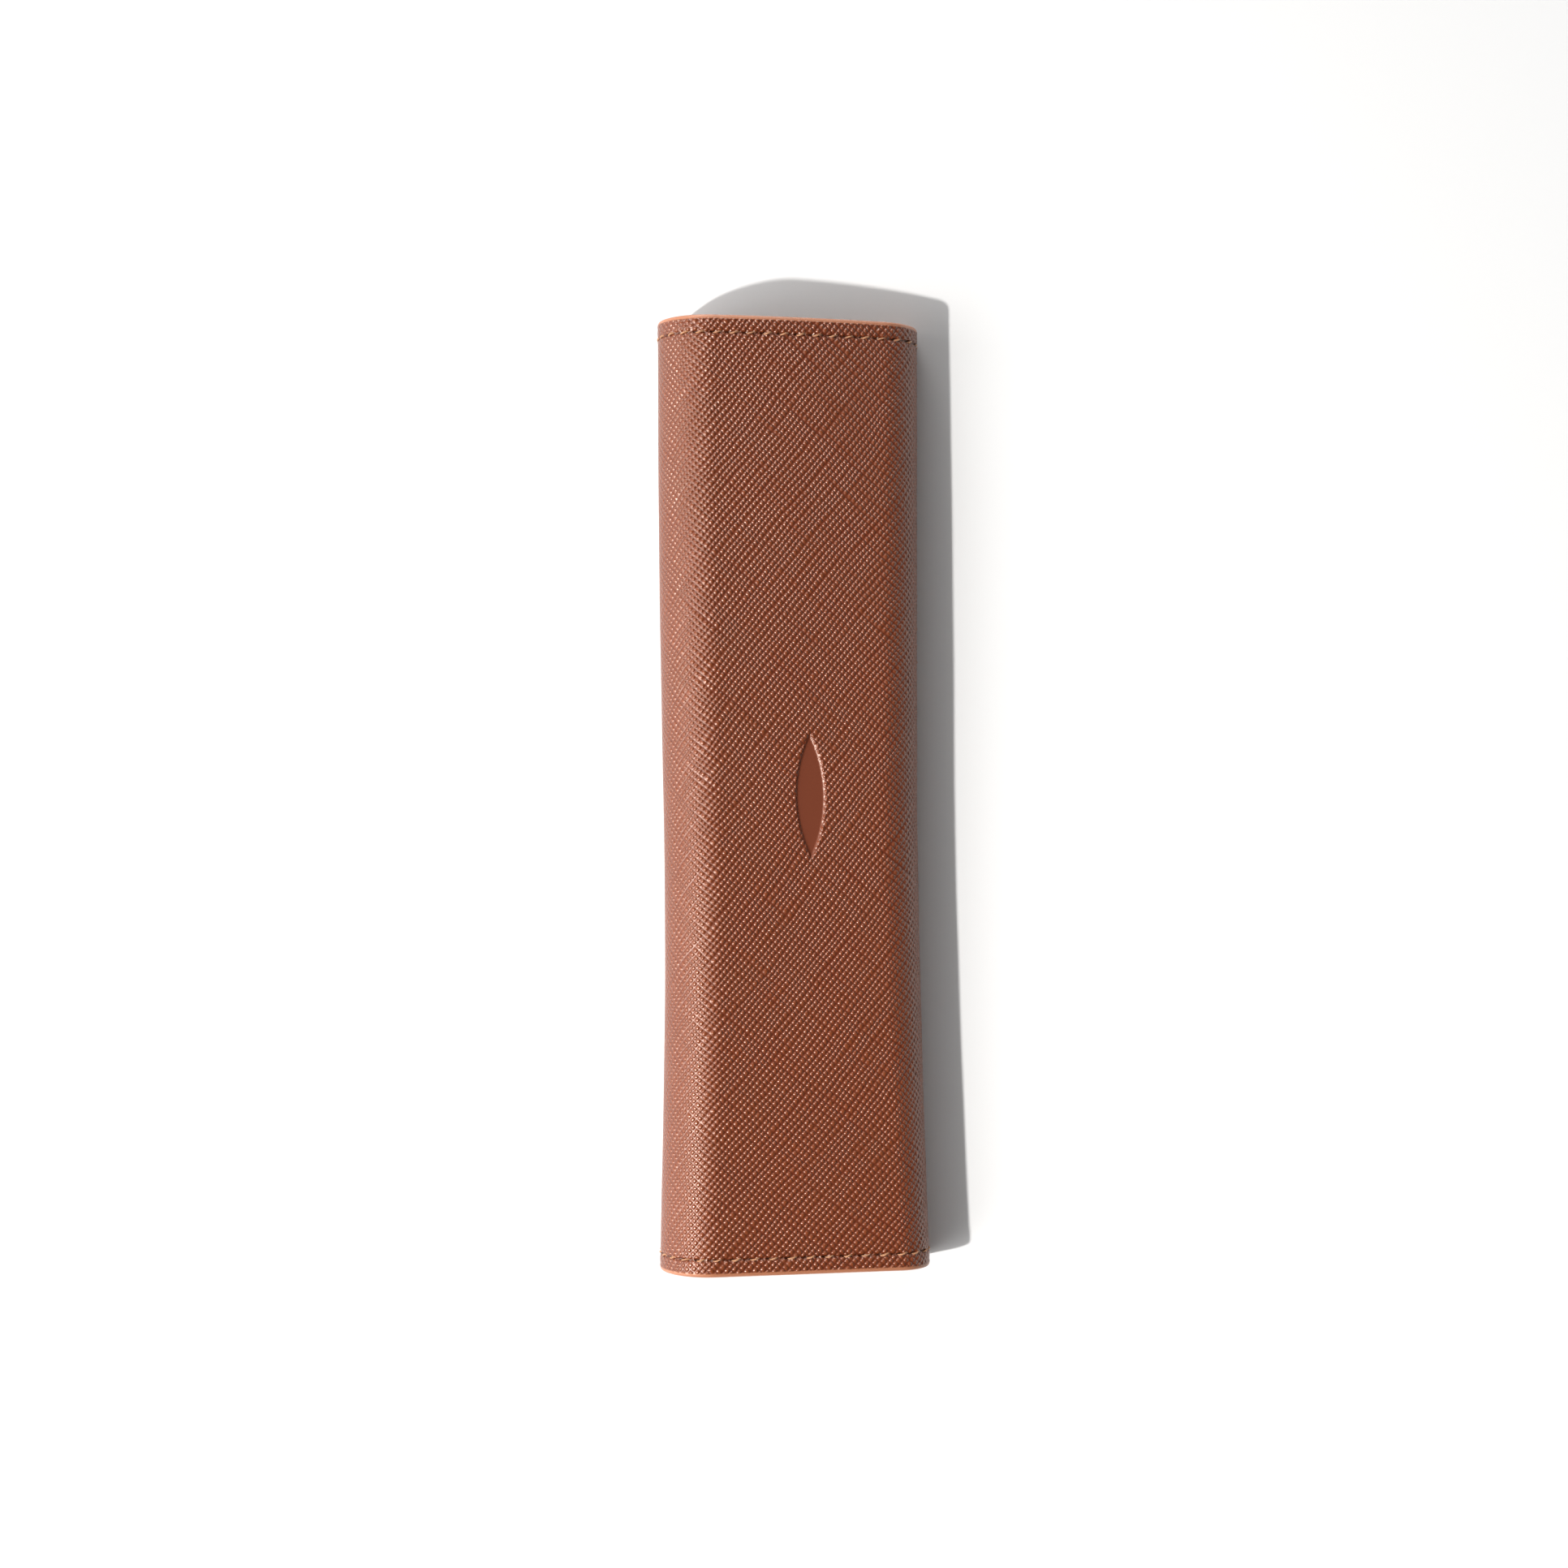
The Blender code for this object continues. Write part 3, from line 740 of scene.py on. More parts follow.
class PENCASE_OT_padding(bpy.types.Operator):
    """Make the fleece in the spine and the boards in the cover and the lip"""

    bl_idname = "pencase.padding"
    bl_label = "Padding and Boards"

    def execute(self, context):
        marks = girth_marks()
        depths = padding_depths()
        board, fleece = board_material(), fleece_material()
        spine_split, cover_split = folds()["spine"]["girth"]
        lip_end = marks[-1] - settings("seams").lip_inset - 0.6 * MM
        rows = [
            ("spine_fleece_low", "base", (marks[1] + 1 * MM, spine_split), fleece, "fleece_padding"),
            ("spine_fleece_high", "spine", (spine_split, marks[4] - 1 * MM), fleece, "fleece_padding"),
            ("cover_board_edge", "spine", (marks[4] + 0.6 * MM, cover_split), board, "fibre_board"),
            ("cover_board_main", "cover", (cover_split, marks[5] - 0.6 * MM), board, "fibre_board"),
            ("lip_board", "cover", (marks[5] + 5 * MM, lip_end), board, "fibre_board"),
        ]
        replaced = {
            "spine_fleece_low": ("spine_fleece",),
            "cover_board_main": ("cover_board",),
            "lip_board": ("lip_stiffener",),
        }
        reach = HALF_LENGTH - BOARD_END_GAP
        for name, part, (start, end), look, slot_name in rows:
            mesh = even_sheet(name, spaced(start, end, 1.0 * MM), spaced(-reach, reach, 3.0 * MM), depths)
            piece = new_piece(name, mesh, look, slot_name)
            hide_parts(*replaced.get(name, ()))
            bend_with(piece, part, sum(depths) / 2)
        base_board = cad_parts["base_board"]
        base_board.data.materials.clear()
        base_board.data.materials.append(board)
        return {"FINISHED"}


# Stitches


def stitch_tree(look):
    """Geometry nodes that lay one slanted stitch on each point of a guide, along its tangent and normal."""
    tree = bpy.data.node_groups.new("sewn_stitches", "GeometryNodeTree")
    tree.interface.new_socket("Guide", in_out="INPUT", socket_type="NodeSocketGeometry")
    for name in ("Length", "Radius", "Lift", "Slant"):
        tree.interface.new_socket(name, in_out="INPUT", socket_type="NodeSocketFloat")
    tree.interface.new_socket("Seed", in_out="INPUT", socket_type="NodeSocketInt")
    tree.interface.new_socket("Stitches", in_out="OUTPUT", socket_type="NodeSocketGeometry")
    given = tree.nodes.new("NodeGroupInput").outputs
    stitch = one_stitch(tree, given)
    along = add_node(tree, "GeometryNodeInputNamedAttribute", {"Name": "tangent"}, data_type="FLOAT_VECTOR")
    up = add_node(tree, "GeometryNodeInputNamedAttribute", {"Name": "normal"}, data_type="FLOAT_VECTOR")
    turn = add_node(
        tree, "FunctionNodeAlignRotationToVector", {"Vector": along.outputs["Attribute"]}, axis="X"
    )
    stand = add_node(
        tree,
        "FunctionNodeAlignRotationToVector",
        {"Rotation": turn.outputs["Rotation"], "Vector": up.outputs["Attribute"]},
        axis="Z",
        pivot_axis="X",
    )
    size = add_node(
        tree,
        "FunctionNodeRandomValue",
        {"Min": (0.93, 0.75, 0.85), "Max": (1.05, 1.25, 1.15), "Seed": given["Seed"]},
        data_type="FLOAT_VECTOR",
    )
    points = add_node(tree, "GeometryNodeMeshToPoints", {"Mesh": given["Guide"]})
    placed = add_node(
        tree,
        "GeometryNodeInstanceOnPoints",
        {
            "Points": points.outputs["Points"],
            "Instance": stitch,
            "Rotation": stand.outputs["Rotation"],
            "Scale": size.outputs["Value"],
        },
    )
    real = add_node(tree, "GeometryNodeRealizeInstances", {"Geometry": placed.outputs["Instances"]})
    finished = add_node(
        tree, "GeometryNodeSetMaterial", {"Geometry": real.outputs["Geometry"], "Material": look}
    )
    shown = tree.nodes.new("NodeGroupOutput")
    tree.links.new(finished.outputs["Geometry"], shown.inputs["Stitches"])
    return tree


def one_stitch(tree, given):
    """A thread that rises out of its slot, crosses the seam at a slant and sinks again."""
    line = add_node(tree, "GeometryNodeCurvePrimitiveLine", {"Start": (-0.5, 0, 0), "End": (0.5, 0, 0)})
    fine = add_node(tree, "GeometryNodeResampleCurve", {"Curve": line.outputs["Curve"], "Count": 15})
    place = add_node(tree, "GeometryNodeInputPosition").outputs[0]
    x = add_node(tree, "ShaderNodeSeparateXYZ", {0: place}).outputs["X"]
    hump = calc(tree, "POWER", calc(tree, "COSINE", calc(tree, "MULTIPLY", x, math.pi)), 1.6)
    rise = calc(tree, "MULTIPLY", hump, calc(tree, "ADD", given["Lift"], 0.00055))
    height = calc(tree, "SUBTRACT", rise, calc(tree, "ADD", given["Radius"], 0.00045))
    lean = calc(tree, "MULTIPLY", calc(tree, "TANH", calc(tree, "MULTIPLY", x, 4.0)), given["Slant"])
    ahead = calc(tree, "MULTIPLY", x, given["Length"])
    moved = add_node(tree, "ShaderNodeCombineXYZ", {"X": ahead, "Y": lean, "Z": height})
    shaped = add_node(
        tree, "GeometryNodeSetPosition", {"Geometry": fine.outputs["Curve"], "Position": moved.outputs[0]}
    )
    ring = add_node(tree, "GeometryNodeCurvePrimitiveCircle", {"Resolution": 8, "Radius": given["Radius"]})
    tube = add_node(
        tree,
        "GeometryNodeCurveToMesh",
        {"Curve": shaped.outputs["Geometry"], "Profile Curve": ring.outputs["Curve"], "Fill Caps": True},
    )
    soft = add_node(tree, "GeometryNodeSetShadeSmooth", {"Geometry": tube.outputs["Mesh"]})
    return soft.outputs["Geometry"]


def stitches(name, tree, places, look):
    """One mesh of stitches on a list of (place, tangent, normal), made by the stitch tree."""
    seams = settings("seams")
    guide = bpy.data.meshes.new(name + "_guide")
    guide.from_pydata([tuple(p) for p, _, _ in places], [], [])
    for key, index in (("tangent", 1), ("normal", 2)):
        attribute = guide.attributes.new(key, "FLOAT_VECTOR", "POINT")
        attribute.data.foreach_set("vector", [c for place in places for c in place[index]])
    holder = bpy.data.objects.new(name + "_guide", guide)
    bpy.context.scene.collection.objects.link(holder)
    modifier = holder.modifiers.new("stitches", "NODES")
    modifier.node_group = tree
    inputs = {
        "Length": 0.78 * seams.pitch,
        "Radius": seams.thread,
        "Lift": seams.lift,
        "Slant": seams.slant,
        "Seed": seams.seed,
    }
    for item in tree.interface.items_tree:
        if item.in_out == "INPUT" and item.name in inputs:
            modifier[item.identifier] = inputs[item.name]
    graph = bpy.context.evaluated_depsgraph_get()
    mesh = bpy.data.meshes.new_from_object(holder.evaluated_get(graph))
    mesh.name = name
    bpy.data.objects.remove(holder)
    bpy.data.meshes.remove(guide)
    return new_piece(name, mesh, look, "waxed_thread")


class PENCASE_OT_seams(bpy.types.Operator):
    """Sew both ends of the wrap and the edge of the lip"""

    bl_idname = "pencase.seams"
    bl_label = "Seams"

    def execute(self, context):
        seams = settings("seams")
        look = thread_material()
        tree = stitch_tree(look)
        seam_y = HALF_LENGTH - seams.inset
        stand_for = {
            "base": ("base_head_thread", "base_foot_thread"),
            "spine": ("spine_head_thread", "spine_foot_thread"),
            "cover": (
                "cover_head_thread",
                "cover_foot_thread",
                "lip_head_thread",
                "lip_foot_thread",
                "lip_edge_thread",
            ),
        }
        for part, nodes in stand_for.items():
            for side, depth in (("stitches", 0.0), ("lining_stitches", lining_depths()[1])):
                sewn = stitches(f"{part}_{side}", tree, self.places(part, seam_y, depth), look)
                if depth == 0.0:
                    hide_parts(*nodes)
                bend_with(sewn, part, depth)
        return {"FINISHED"}

    def places(self, part, seam_y, depth):
        """Stitch places of one part, on the wrap's face or on its lining."""
        pitch = settings("seams").pitch
        start, end = folds()[part]["girth"]
        free_start, free_end = folds()[part]["free"]
        start += SEAM_EDGE_GAP * free_start
        end -= SEAM_EDGE_GAP * free_end
        counts = range(math.ceil(start / pitch), math.floor(end / pitch) + 1)
        places = [surface_point(count * pitch, y, depth) for count in counts for y in (-seam_y, seam_y)]
        return places + lip_edge_places(seam_y, depth) if free_end else places


def lip_edge_places(seam_y, depth):
    """Stitch places along the lip's edge, between the two end seams."""
    seams = settings("seams")
    girth = folds()["cover"]["girth"][1] - seams.lip_inset
    count = math.floor((seam_y - SEAM_EDGE_GAP) / seams.pitch)
    places = []
    for step in range(-count, count + 1):
        place, _, normal = surface_point(girth, step * seams.pitch, depth)
        places.append((place, Vector((0, 1, 0)), normal))
    return places


# The inside


def loop_outline(x, half_width, half_height, floor, count, sag=0.0):
    """A soft closed loop that rests on a floor: rounder above than below. Runs clockwise from its left."""
    turn = np.linspace(0, 2 * math.pi, count, endpoint=False)
    c, s = -np.cos(turn), np.sin(turn)
    px = x + half_width * np.sign(c) * np.abs(c) ** 0.9
    lift = np.where(s > 0, s, np.sign(s) * np.abs(s) ** 0.55)
    pz = floor + half_height * (1 + lift) - sag * np.clip(s, 0, 1) ** 3
    return np.stack([px, pz], axis=-1)


def side_lengths(outline):
    return np.linalg.norm(np.roll(outline, -1, axis=0) - outline, axis=1)


def loop_normals(outline):
    ahead = np.roll(outline, -1, axis=0) - np.roll(outline, 1, axis=0)
    normal = np.stack([-ahead[:, 1], ahead[:, 0]], axis=-1)
    return normal / np.linalg.norm(normal, axis=1)[:, None]


def closed_tube(name, outline_at, ys, wall_at, sealed=False):
    """A tube along Y: its outer outline at each y, thickened inwards. Its ends are open or sealed."""
    outer, inner, uv = [], [], []
    for y in ys:
        line = outline_at(y)
        normal = loop_normals(line)
        around = np.concatenate([[0.0], np.cumsum(side_lengths(line))[:-1]])
        wall = wall_at(y)
        level = np.full(len(line), y)
        outer.append(np.stack([line[:, 0], level, line[:, 1]], axis=-1))
        inside = line - normal * wall
        deep = level - np.sign(y) * wall if sealed and y in (ys[0], ys[-1]) else level
        inner.append(np.stack([inside[:, 0], deep, inside[:, 1]], axis=-1))
        uv.append(np.stack([around, level], axis=-1))
    rows, columns = len(ys), len(outer[0])
    points = np.concatenate(outer + inner)
    index = np.arange(2 * rows * columns).reshape(2, rows, columns)
    wrapped = np.concatenate([index, index[:, :, :1]], axis=2)
    faces = []
    for side in (0, 1):
        a, b = wrapped[side, :-1, :-1], wrapped[side, :-1, 1:]
        c, d = wrapped[side, 1:, 1:], wrapped[side, 1:, :-1]
        quad = np.stack([a, b, c, d], axis=-1).reshape(-1, 4)
        faces += (quad if side == 0 else quad[:, ::-1]).tolist()
    if sealed:
        caps = [index[0, 0, ::-1], index[0, -1], index[1, 0], index[1, -1, ::-1]]
        faces += [cap.tolist() for cap in caps]
    else:
        faces += rim_faces(wrapped[0, 0], wrapped[1, 0]).tolist()
        faces += rim_faces(wrapped[0, -1], wrapped[1, -1], flip=True).tolist()
    return mesh_from(name, points, faces, np.concatenate(uv + uv))


def domed_plate(name, outline, y, thickness, dome):
    """A closed plate across Y in an outline, with a soft rim and its face at the lower y domed."""
    middle = outline.mean(axis=0)
    shells = [
        (0.0, y - dome),
        (0.5, y - dome * 0.8),
        (0.85, y - dome * 0.35),
        (0.97, y),
        (1.0, y + 0.3 * thickness),
        (1.0, y + thickness),
        (0.0, y + thickness),
    ]
    points, rings = [], []
    for reach, level in shells:
        ring = outline if reach else outline[:1]
        place = middle + (ring - middle) * reach
        rings.append(range(len(points), len(points) + len(ring)))
        points += [(x, level, z) for x, z in place]
    faces = []
    for near, far in zip(rings, rings[1:]):
        for i in range(max(len(near), len(far))):
            j = (i + 1) % max(len(near), len(far))
            if len(near) == 1:
                faces.append([near[0], far[i], far[j]])
            elif len(far) == 1:
                faces.append([near[j], near[i], far[0]])
            else:
                faces.append([near[i], far[i], far[j], near[j]])
    points = np.array(points)
    return mesh_from(name, points, [face[::-1] for face in faces], points[:, [0, 2]])


def inside_space(node):
    """Middle x, half width, half height and floor of a sleeve's or loop's space."""
    low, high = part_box(node)
    return (low.x + high.x) / 2, (high.x - low.x) / 2, (high.z - low.z) / 2, low.z


def declare_tube(outline):
    """Measures the length round a sleeve's or a loop's outline, and does nothing with it."""
    girth = float(side_lengths(outline).sum())


class PENCASE_OT_sleeves(bpy.types.Operator):
    """Make the two suede sleeves with hemmed mouths and leather feet"""

    bl_idname = "pencase.sleeves"
    bl_label = "Pen Sleeves"

    def execute(self, context):
        sizes = settings("inside")
        suede, leather, thread = suede_material(), smooth_leather_material(), thread_material()
        tree = stitch_tree(thread)
        for side in ("left", "right"):
            node = side + "_sleeve"
            x, half_width, half_height, floor = inside_space(node)
            low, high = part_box(node)
            half_width -= 0.7 * MM

            def mouth_at(y):
                return smooth((y - high.y + sizes.hem_depth) / (0.5 * MM))

            def outline_at(y):
                mouth = mouth_at(y)
                sag = sizes.sleeve_sag * math.sin(math.pi * (y - low.y) / (high.y - low.y))
                wave = 0.12 * MM * math.sin(y * 210) + 0.1 * MM * math.sin(y * 97 + 1)
                grown = half_width + wave * (1 - mouth) + sizes.hem_swell * mouth
                return loop_outline(x, grown, half_height - 0.2 * MM, floor, 56, sag * (1 - mouth))

            def wall_at(y):
                from_end = min(high.y - y, y - low.y)
                thinned = 0.2 * MM * bell(from_end, 0, 0.2 * MM)
                return sizes.sleeve_wall + 0.25 * MM * mouth_at(y) - thinned

            zones = [
                (high.y - sizes.hem_depth - 1 * MM, high.y - sizes.hem_depth + 1 * MM, 0.2 * MM),
                (high.y - 0.6 * MM, high.y, 0.15 * MM),
                (low.y, low.y + 0.6 * MM, 0.15 * MM),
            ]
            ys = refined(low.y, high.y, 2.0 * MM, zones)
            mesh = closed_tube(node, outline_at, ys, wall_at)
            sleeve = new_piece(node + "_suede", mesh, suede, "suede_lining")
            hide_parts(node)
            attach(sleeve, "base")
            declare_tube(outline_at(0.0))
            places = hem_places(outline_at, high.y - sizes.hem_depth + 1.0 * MM)
            places += hem_places(outline_at, low.y + 1.6 * MM)
            wall = floor + sizes.sleeve_wall
            places += tack_places(x, low.y + 3 * MM, high.y - 3 * MM, wall, settings("seams").pitch)
            sewn = stitches(side + "_sleeve_stitches", tree, places, thread)
            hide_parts(side + "_sleeve_thread")
            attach(sewn, "base")
            self.foot(side, outline_at, leather)
        return {"FINISHED"}

    def foot(self, side, outline_at, look):
        """The leather disc that closes a sleeve, a little inside the sleeve's wall."""
        node = side + "_sleeve_foot"
        low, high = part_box(node)
        line = outline_at(low.y)
        inside = line - loop_normals(line) * (settings("inside").sleeve_wall + 0.03 * MM)
        mesh = domed_plate(node, inside, low.y, high.y - low.y, 0.35 * MM)
        disc = new_piece(node + "_disc", mesh, look, "smooth_leather")
        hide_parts(node)
        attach(disc, "base")


def hem_places(outline_at, y):
    """Stitch places round a sleeve's hem."""
    line = outline_at(y)
    normal = loop_normals(line)
    steps = side_lengths(line)
    around = np.concatenate([[0.0], np.cumsum(steps)])
    places = []
    for count in range(round(around[-1] / HEM_PITCH)):
        index = int(np.searchsorted(around, count * HEM_PITCH, side="right")) - 1
        n = normal[index]
        if n[1] < -0.6:
            continue
        part = (count * HEM_PITCH - around[index]) / steps[index]
        point = line[index] + (line[(index + 1) % len(line)] - line[index]) * part
        places.append((Vector((point[0], y, point[1])), Vector((n[1], 0, -n[0])), Vector((n[0], 0, n[1]))))
    return places


def tack_places(x, start, end, z, pitch):
    """Stitch places along Y on the floor of a sleeve or a loop."""
    count = math.ceil((end - start) / pitch)
    return [(Vector((x, start + i * pitch, z)), Vector((0, 1, 0)), Vector((0, 0, 1))) for i in range(count)]


class PENCASE_OT_loops(bpy.types.Operator):
    """Make the two elastic loops with ribbed faces and sewn feet"""

    bl_idname = "pencase.loops"
    bl_label = "Elastic Loops"

    def execute(self, context):
        look, thread = elastic_material(), thread_material()
        tree = stitch_tree(thread)
        for side in ("left", "right"):
            node = side + "_elastic_loop"
            x, half_width, half_height, floor = inside_space(node)
            low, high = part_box(node)

            def outline_at(y):
                edge = min(high.y - y, y - low.y)
                pinch = 0.12 * MM * bell(edge, 0, 0.5 * MM)
                wide, tall = half_width - 0.5 * MM - pinch, half_height - 0.2 * MM - pinch
                return loop_outline(x, wide, tall, floor, 120)

            def wall_at(y):
                edge = min(high.y - y, y - low.y)
                return LOOP_WALL - 0.3 * MM * bell(edge, 0, 0.2 * MM)

            zones = [(low.y, low.y + 0.6 * MM, 0.15 * MM), (high.y - 0.6 * MM, high.y, 0.15 * MM)]
            ys = refined(low.y, high.y, 0.8 * MM, zones)
            mesh = closed_tube(node, outline_at, ys, wall_at)
            loop = new_piece(node + "_band", mesh, look, "woven_elastic")
            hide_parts(node)
            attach(loop, "base")
            declare_tube(outline_at((low.y + high.y) / 2))
            places = []
            for offset in (-1.5 * MM, 1.5 * MM):
                places += tack_places(x + offset, low.y + 1.5 * MM, high.y, floor + LOOP_WALL, LOOP_PITCH)
            sewn = stitches(side + "_loop_stitches", tree, places, thread)
            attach(sewn, "base")
        return {"FINISHED"}


class PENCASE_OT_welt(bpy.types.Operator):
    """Make the leather-covered strip that the lip closes against, and the bar magnets"""

    bl_idname = "pencase.welt"
    bl_label = "Welt and Magnets"

    def execute(self, context):
        leather, metal, board = smooth_leather_material(), nickel_material(), board_material()
        x = (WELT_LOW.x + WELT_HIGH.x) / 2
        half_width = (WELT_HIGH.x - WELT_LOW.x) / 2
        floor, top = WELT_LOW.z, WELT_HIGH.z
        end = WELT_HIGH.y + WELT_OVERHANG

        def outline_at(y):
            drop = round_over(np.array([end - abs(y)]), WELT_END_RADIUS)[0]
            bend = np.linspace(math.pi, 0, 17)
            centre = top - half_width - drop
            arch = np.stack([x + half_width * np.cos(bend), centre + half_width * np.sin(bend)], axis=-1)
            foot = np.array([[x + half_width, floor], [x - half_width, floor]])
            return np.concatenate([arch, foot])

        zones = [(-end, 1.4 * MM - end, 0.15 * MM), (end - 1.4 * MM, end, 0.15 * MM)]
        ys = refined(-end, end, 4 * MM, zones)
        mesh = closed_tube("welt_leather", outline_at, ys, lambda y: WELT_WALL, True)
        cover = new_piece("welt_leather", mesh, leather, "smooth_leather")
        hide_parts("welt_cover")
        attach(cover, "base")
        declare_tube(outline_at(0.0))
        for name in ("welt_core", "welt_magnet_1", "welt_magnet_2", "welt_magnet_3"):
            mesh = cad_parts[name].data
            mesh.materials.clear()
            mesh.materials.append(board if name == "welt_core" else metal)
        for index in (1, 2, 3):
            self.lip_magnet(f"lip_magnet_{index}", metal)
        return {"FINISHED"}

    def lip_magnet(self, name, metal):
        """A bar magnet inside the lip's board, as a short layer of its own."""
        low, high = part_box(name)
        middle = girth_marks()[6] + LIP_CENTRE_Z - (low.z + high.z) / 2
        half = (high.z - low.z) / 2
        girths = spaced(middle - half, middle + half, 1.0 * MM)
        mesh = even_sheet(name + "_bar", girths, spaced(low.y, high.y, 2.5 * MM), padding_depths())
        bar = new_piece(name + "_bar", mesh, metal, "nickel_magnet")
        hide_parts(name)
        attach(bar, "lip")


# Materials


def set_inputs(tree, node, values):
    """Sets a node's inputs to values, or links them to sockets."""
    for key, value in values.items():
        if isinstance(value, bpy.types.NodeSocket):
            tree.links.new(value, node.inputs[key])
        else:
            node.inputs[key].default_value = value


def add_node(tree, kind, inputs=None, **options):
    """A new node with its options and its inputs."""
    made = tree.nodes.new(kind)
    for key, value in options.items():
        setattr(made, key, value)
    set_inputs(tree, made, inputs or {})
    return made


def calc(tree, operation, *values):
    """A math node's result."""
    return add_node(tree, "ShaderNodeMath", dict(enumerate(values)), operation=operation).outputs[0]


def vector_calc(tree, operation, *values):
    """A vector math node's result, which is a number for a dot product."""
    node = add_node(tree, "ShaderNodeVectorMath", dict(enumerate(values)), operation=operation)
    return node.outputs["Value" if operation == "DOT_PRODUCT" else "Vector"]


def mixed(tree, factor, first, second):
    """Two colours mixed by a factor."""
    node = add_node(tree, "ShaderNodeMix", {0: factor}, data_type="RGBA")
    for index, value in ((6, first), (7, second)):
        set_inputs(tree, node, {index: value if isinstance(value, bpy.types.NodeSocket) else (*value, 1.0)})
    return node.outputs[2]


def toned(tone, factor):
    """A colour made darker or lighter."""
    return tuple(min(1.0, part * factor) for part in tone)


def noise(tree, vector, scale, detail=2.0, roughness=0.5, output="Fac"):
    """Soft noise at a place."""
    given = {"Vector": vector, "Scale": scale, "Detail": detail, "Roughness": roughness}
    return add_node(tree, "ShaderNodeTexNoise", given).outputs[output]


def ranged(tree, value, low, high, to_low, to_high):
    """A value moved from one range to another, and held inside it."""
    given = {"Value": value, "From Min": low, "From Max": high, "To Min": to_low, "To Max": to_high}
    return add_node(tree, "ShaderNodeMapRange", given).outputs[0]


def bumped(tree, height, distance):
    """The facing direction on a bumpy surface."""
    given = {"Height": height, "Distance": distance, "Strength": 1.0}
    return add_node(tree, "ShaderNodeBump", given).outputs[0]


def own_place(tree):
    """A place in the piece's own coordinates, in metres."""
    return add_node(tree, "ShaderNodeTexCoord").outputs["Object"]


def hide_millimetres(tree):
    """The leather's own coordinates in millimetres, from the UV map."""
    uv = add_node(tree, "ShaderNodeUVMap", uv_map="hide").outputs[0]
    given = {0: uv, "Scale": 1 / MM}
    return add_node(tree, "ShaderNodeVectorMath", given, operation="SCALE").outputs[0]


def point_value(tree, name):
    """A value that a mesh carries on its points."""
    return add_node(tree, "ShaderNodeAttribute", attribute_name=name).outputs["Fac"]


def material(name):
    """Makes a material once, from the shader inputs that the decorated function returns for its tree."""

    def wrapped(shader_inputs):
        def make():
            made = bpy.data.materials.get(name)
            if made is None:
                made = bpy.data.materials.new(name)
                made.use_nodes = True
                tree = made.node_tree
                set_inputs(tree, tree.nodes["Principled BSDF"], shader_inputs(tree))
            return made

        return make

    return wrapped


def swayed(tree, place, source, sway):
    """A place pushed sideways by a coloured noise, by up to half of the sway in millimetres."""
    centred = vector_calc(tree, "SUBTRACT", source, (0.5, 0.5, 0.5))
    return vector_calc(tree, "MULTIPLY_ADD", centred, (sway, sway, 0), place)


def groove_family(tree, place, heading, pitch):
    """Parallel grooves of one direction, unevenly spaced and deep: 0 in a groove and 1 on a ridge."""
    c, s = math.cos(heading), math.sin(heading)
    across = vector_calc(tree, "DOT_PRODUCT", place, (c, s, 0))
    along = vector_calc(tree, "DOT_PRODUCT", place, (-s, c, 0))
    drawn_out = {"X": calc(tree, "MULTIPLY", across, 0.42), "Y": calc(tree, "MULTIPLY", along, 0.05)}
    streaks = add_node(tree, "ShaderNodeCombineXYZ", drawn_out).outputs[0]
    uneven = calc(tree, "MULTIPLY_ADD", noise(tree, streaks, 1.0, 1.0), 0.9, -0.45)
    line = calc(tree, "DIVIDE", calc(tree, "ADD", across, uneven), pitch)
    wave = calc(tree, "COSINE", calc(tree, "MULTIPLY", line, 2 * math.pi))
    groove = calc(tree, "POWER", calc(tree, "MULTIPLY_ADD", wave, 0.5, 0.5), 1.5)
    own = add_node(tree, "ShaderNodeTexWhiteNoise", {"W": calc(tree, "ROUND", line)}, noise_dimensions="1D")
    strength = ranged(tree, own.outputs["Value"], 0, 1, 0.8, 1.0)
    return calc(tree, "SUBTRACT", 1.0, calc(tree, "MULTIPLY", strength, groove))


